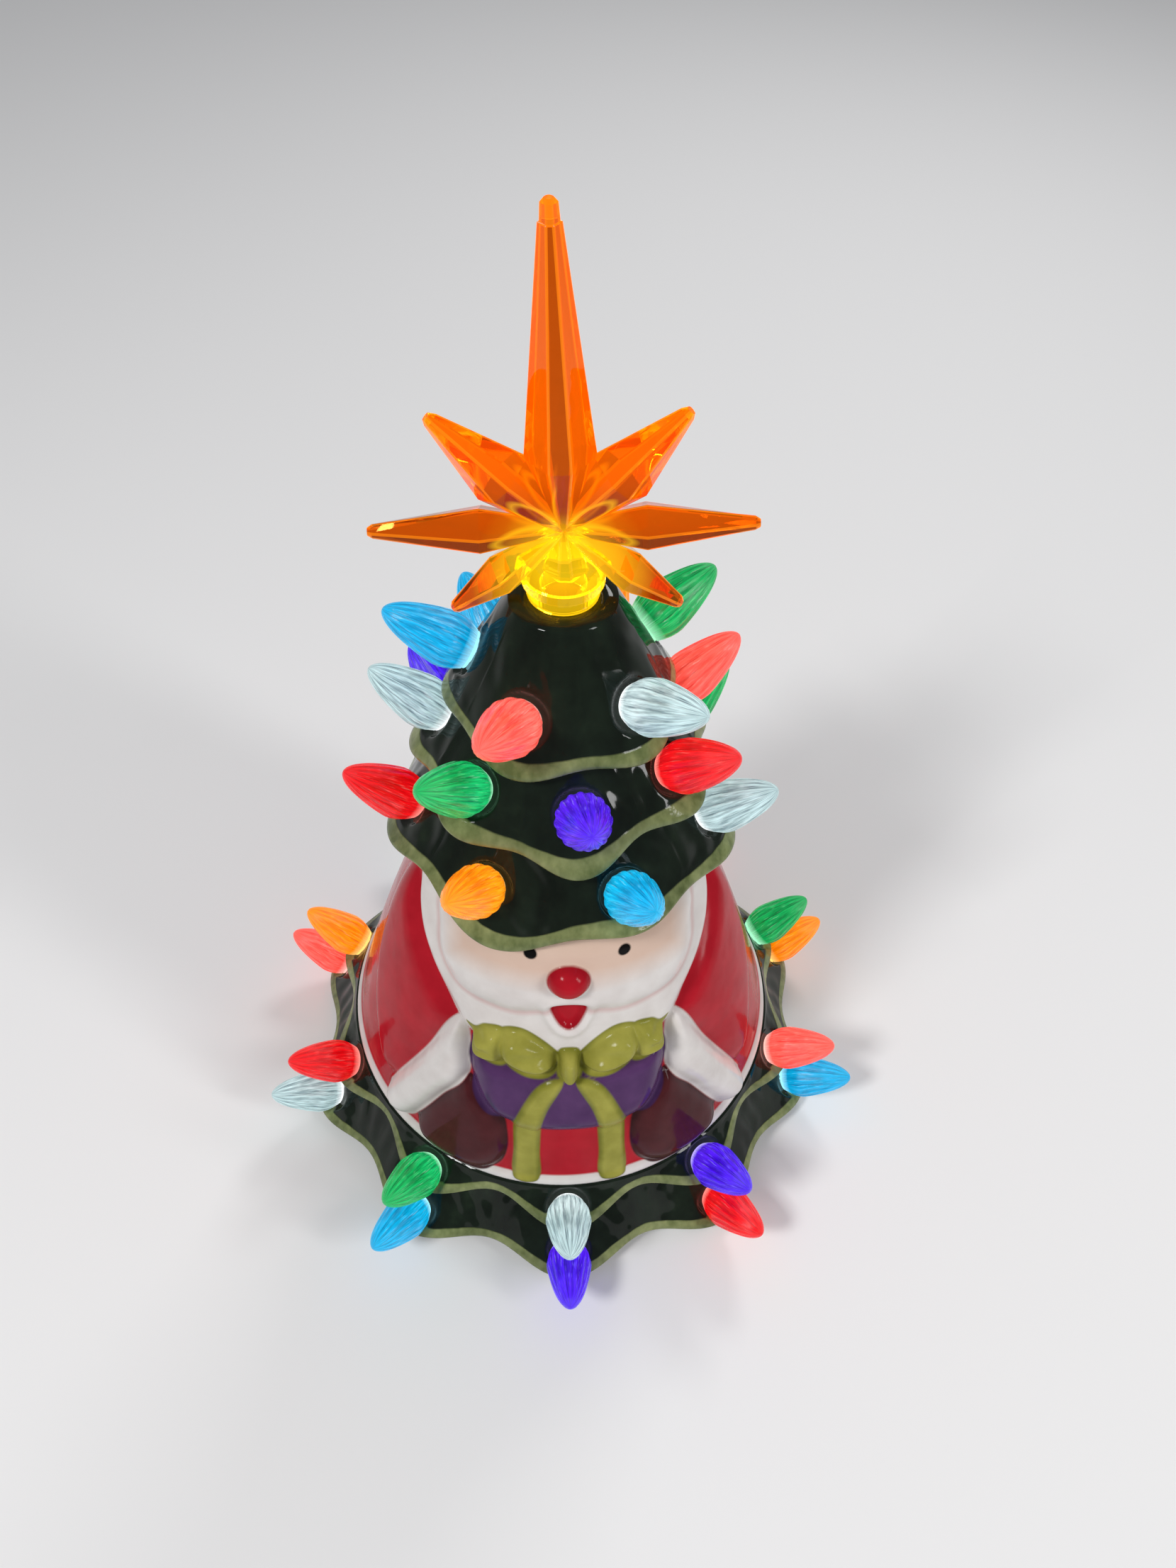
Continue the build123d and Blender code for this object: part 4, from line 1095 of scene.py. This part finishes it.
# lower points keep this share of the painted light of the upper ones
LOWER_PAINTED_LIGHT, CLOUD_SHARE, AMBER_CLOUDS, AMBER_WAVES, AMBER_WAVE_DEPTH = 0.2, 0.2, 90, 160, 0.0001
PETAL_MIDDLE, PETAL_LENGTH, PETAL_WIDTH, PETAL_LINE = 7.7, 5.7, 1.6, 0.3


def from_point(wire, place, point):
    """The way from a point to this place, in millimetres."""
    way = wire.node("VectorMath", {"operation": "SUBTRACT"}, {0: place, 1: tuple(point * MM)})
    return wire.node("VectorMath", {"operation": "SCALE"}, {0: way, "Scale": 1 / MM})


def petal_reflections(wire, x, z):
    """Painted reflection of the inner walls: 1 on a petal's outline in each eighth of a turn, except in the spike
    and the cup, 0 elsewhere.
    """
    side = wire.math("PINGPONG", wire.math("ARCTAN2", x, z) - radians(STAR_LEAN), pi / 8)
    away = wire.math("SQRT", x * x + z * z)
    along = (away * wire.math("COSINE", side) - PETAL_MIDDLE) / PETAL_LENGTH
    across = away * wire.math("SINE", side) / PETAL_WIDTH
    outline = 1 - abs(wire.math("SQRT", along * along + across * across) - 1) / PETAL_LINE
    return outline.clamped() * within(z + PETAL_LENGTH / 2, 2) * within(abs(x) - PETAL_WIDTH, 1)


def amber_acrylic():
    material, shader, wire = new_finish(
        "amber_clear", Roughness=0.03, Transmission_Weight=1.0, IOR=1.49, Emission_Strength=0.6,
        Specular_Tint=(1.0, 0.5, 0.1, 1),
    )
    place = wire.node("TexCoord", output="Object")
    from_heart = from_point(wire, place, CUP_HEART)
    heart_away = wire.node("VectorMath", {"operation": "LENGTH"}, {0: from_heart}, output="Value")
    way = from_point(wire, place, STAR_CENTRE)
    x, z = (wire.node("SeparateXYZ", inputs={0: way}, output=letter) for letter in "XZ")
    cup = (1 - heart_away / CUP_GLOW).clamped()
    # Upper points get painted light: a lighter base and more glow than the lower ones.
    upper_painted_light = ((z - UPPER_START) / UPPER_RISE).clamped()
    cell = wire.node("TexVoronoi", inputs={"Vector": place, "Scale": BUBBLE_SCALE})
    bubble_glint = (1 - cell / BUBBLE_RADIUS).clamped()
    # Faces that look sideways get painted light, in base colour and glow.
    flank_painted_light = (attribute(wire, "flank") * FLANK_GAIN).clamped() * (upper_painted_light * (1 - LOWER_PAINTED_LIGHT) + LOWER_PAINTED_LIGHT)
    # Bevelled edges get painted highlights, and the bubbles painted glints.
    bright = (attribute(wire, "edge") * EDGE_SHARE + bubble_glint * BUBBLE_GLINT_SHARE).clamped()
    lit = bright.mix(flank_painted_light.mix(*FLANK_LIGHTS), EDGE_PAINTED_HIGHLIGHT)
    # The inner walls of the points show as yellow petals: a painted reflection.
    lit = (petal_reflections(wire, x, z) * PETAL_SHARE).mix(lit, PETAL_LIGHT)
    clouds = noise(wire, AMBER_CLOUDS, 2)
    # Flat fronts get a deeper painted shade of the same amber.
    front = (upper_painted_light * (1 - CLOUD_SHARE) + clouds * CLOUD_SHARE).mix(*AMBER_FRONTS_PAINTED_SHADE)
    # Near the cup the base colour is painted paler: painted light.
    feed(shader, "Base Color", cup.mix(flank_painted_light.mix(front, AMBER_FLANK_PAINTED_LIGHT), AMBER_CUP_PAINTED_LIGHT))
    feed(shader, "Emission Color", cup.mix(lit, CUP_LIGHT))
    bumped(wire, shader, noise(wire, AMBER_WAVES, 1), AMBER_WAVE_DEPTH)
    return material


piece("star_amber", star_mesh, amber_acrylic(), "star", "star_topper", smooth=False)

# %% [markdown]
# ## Power pack and inner parts
# The parts inside and underneath keep their CAD shapes, which are right, and get finishes with the grain of
# the real stuff: spark-textured plastic, plated spring steel, a coated board, warm lamp lenses.

# %% Finishes for the inner parts
PLASTIC_CLOUDS, PLASTIC_SHADES, GRAIN_GLOSS = 60, (0.8, 1.2), 0.2


def moulded(name, colour, roughness, grain, depth):
    """Moulded plastic or rubber: an even grain, with slightly uneven colour and gloss."""
    material, shader, wire = new_finish(name)
    cloud, fine = noise(wire, PLASTIC_CLOUDS, 3), noise(wire, grain, 2)
    darker, lighter = (tuple(c * share for c in colour) for share in PLASTIC_SHADES)
    feed(shader, "Base Color", cloud.mix(darker, lighter))
    feed(shader, "Roughness", roughness + (fine - 0.5) * GRAIN_GLOSS)
    bumped(wire, shader, fine, depth)
    return material


def plated_steel():
    material, shader, wire = new_finish("sprung_steel", Metallic=1.0)
    drawn = noise(wire, 300, 2, (1, 8, 1))
    feed(shader, "Base Color", drawn.mix((0.50, 0.50, 0.51), (0.68, 0.68, 0.69)))
    feed(shader, "Roughness", 0.22 + drawn * 0.15)
    return material


def lamp_lens():
    material, shader, wire = new_finish("lamp_lens", Roughness=0.1, Emission_Strength=1.0)
    cloud = noise(wire, 200, 2)
    feed(shader, "Base Color", cloud.mix((0.80, 0.78, 0.66), (0.90, 0.88, 0.78)))
    feed(shader, "Emission Color", cloud.mix((0.75, 0.62, 0.38), (0.90, 0.80, 0.55)))
    return material


inner_finishes = {
    # slot: colour, roughness, scale of the grain, and its depth in metres
    "plate_plastic": moulded("plate_plastic", (0.020, 0.020, 0.022), 0.55, 1800, 0.00008),
    "switch_plastic": moulded("switch_plastic", (0.050, 0.050, 0.055), 0.42, 2400, 0.00003),
    "post_plastic": moulded("post_plastic", (0.70, 0.70, 0.67), 0.45, 2000, 0.00003),
    "cell_wrap": moulded("cell_wrap", (0.100, 0.100, 0.110), 0.25, 1500, 0.00001),
    "board": moulded("board", (0.020, 0.170, 0.055), 0.30, 1200, 0.00004),
    "lead_sleeve": moulded("lead_sleeve", (0.450, 0.015, 0.015), 0.40, 1600, 0.00002),
    "pad_rubber": moulded("pad_rubber", (0.055, 0.055, 0.055), 0.75, 1500, 0.00006),
    "sprung_steel": plated_steel(),
    "lamp_lens": lamp_lens(),
}
for node, slot in slot_of.items():
    if slot in inner_finishes:
        materials = frame["nodes"][node].data.materials
        materials.clear()
        materials.append(inner_finishes[slot])
print("inner finishes:", len(inner_finishes))

# %% [markdown]
# ## Size
# The CAD box and the box of what now shows are both measured and printed. The looks may not change the
# object's size.

# %% Measure both boxes
visual_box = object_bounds()
sizes = {"cad": [list(v) for v in cad_box], "visual": [list(v) for v in visual_box]}
for name, (low, high) in sizes.items():
    print(name, "box in mm:", [round((h - l) / MM, 1) for l, h in zip(low, high)])
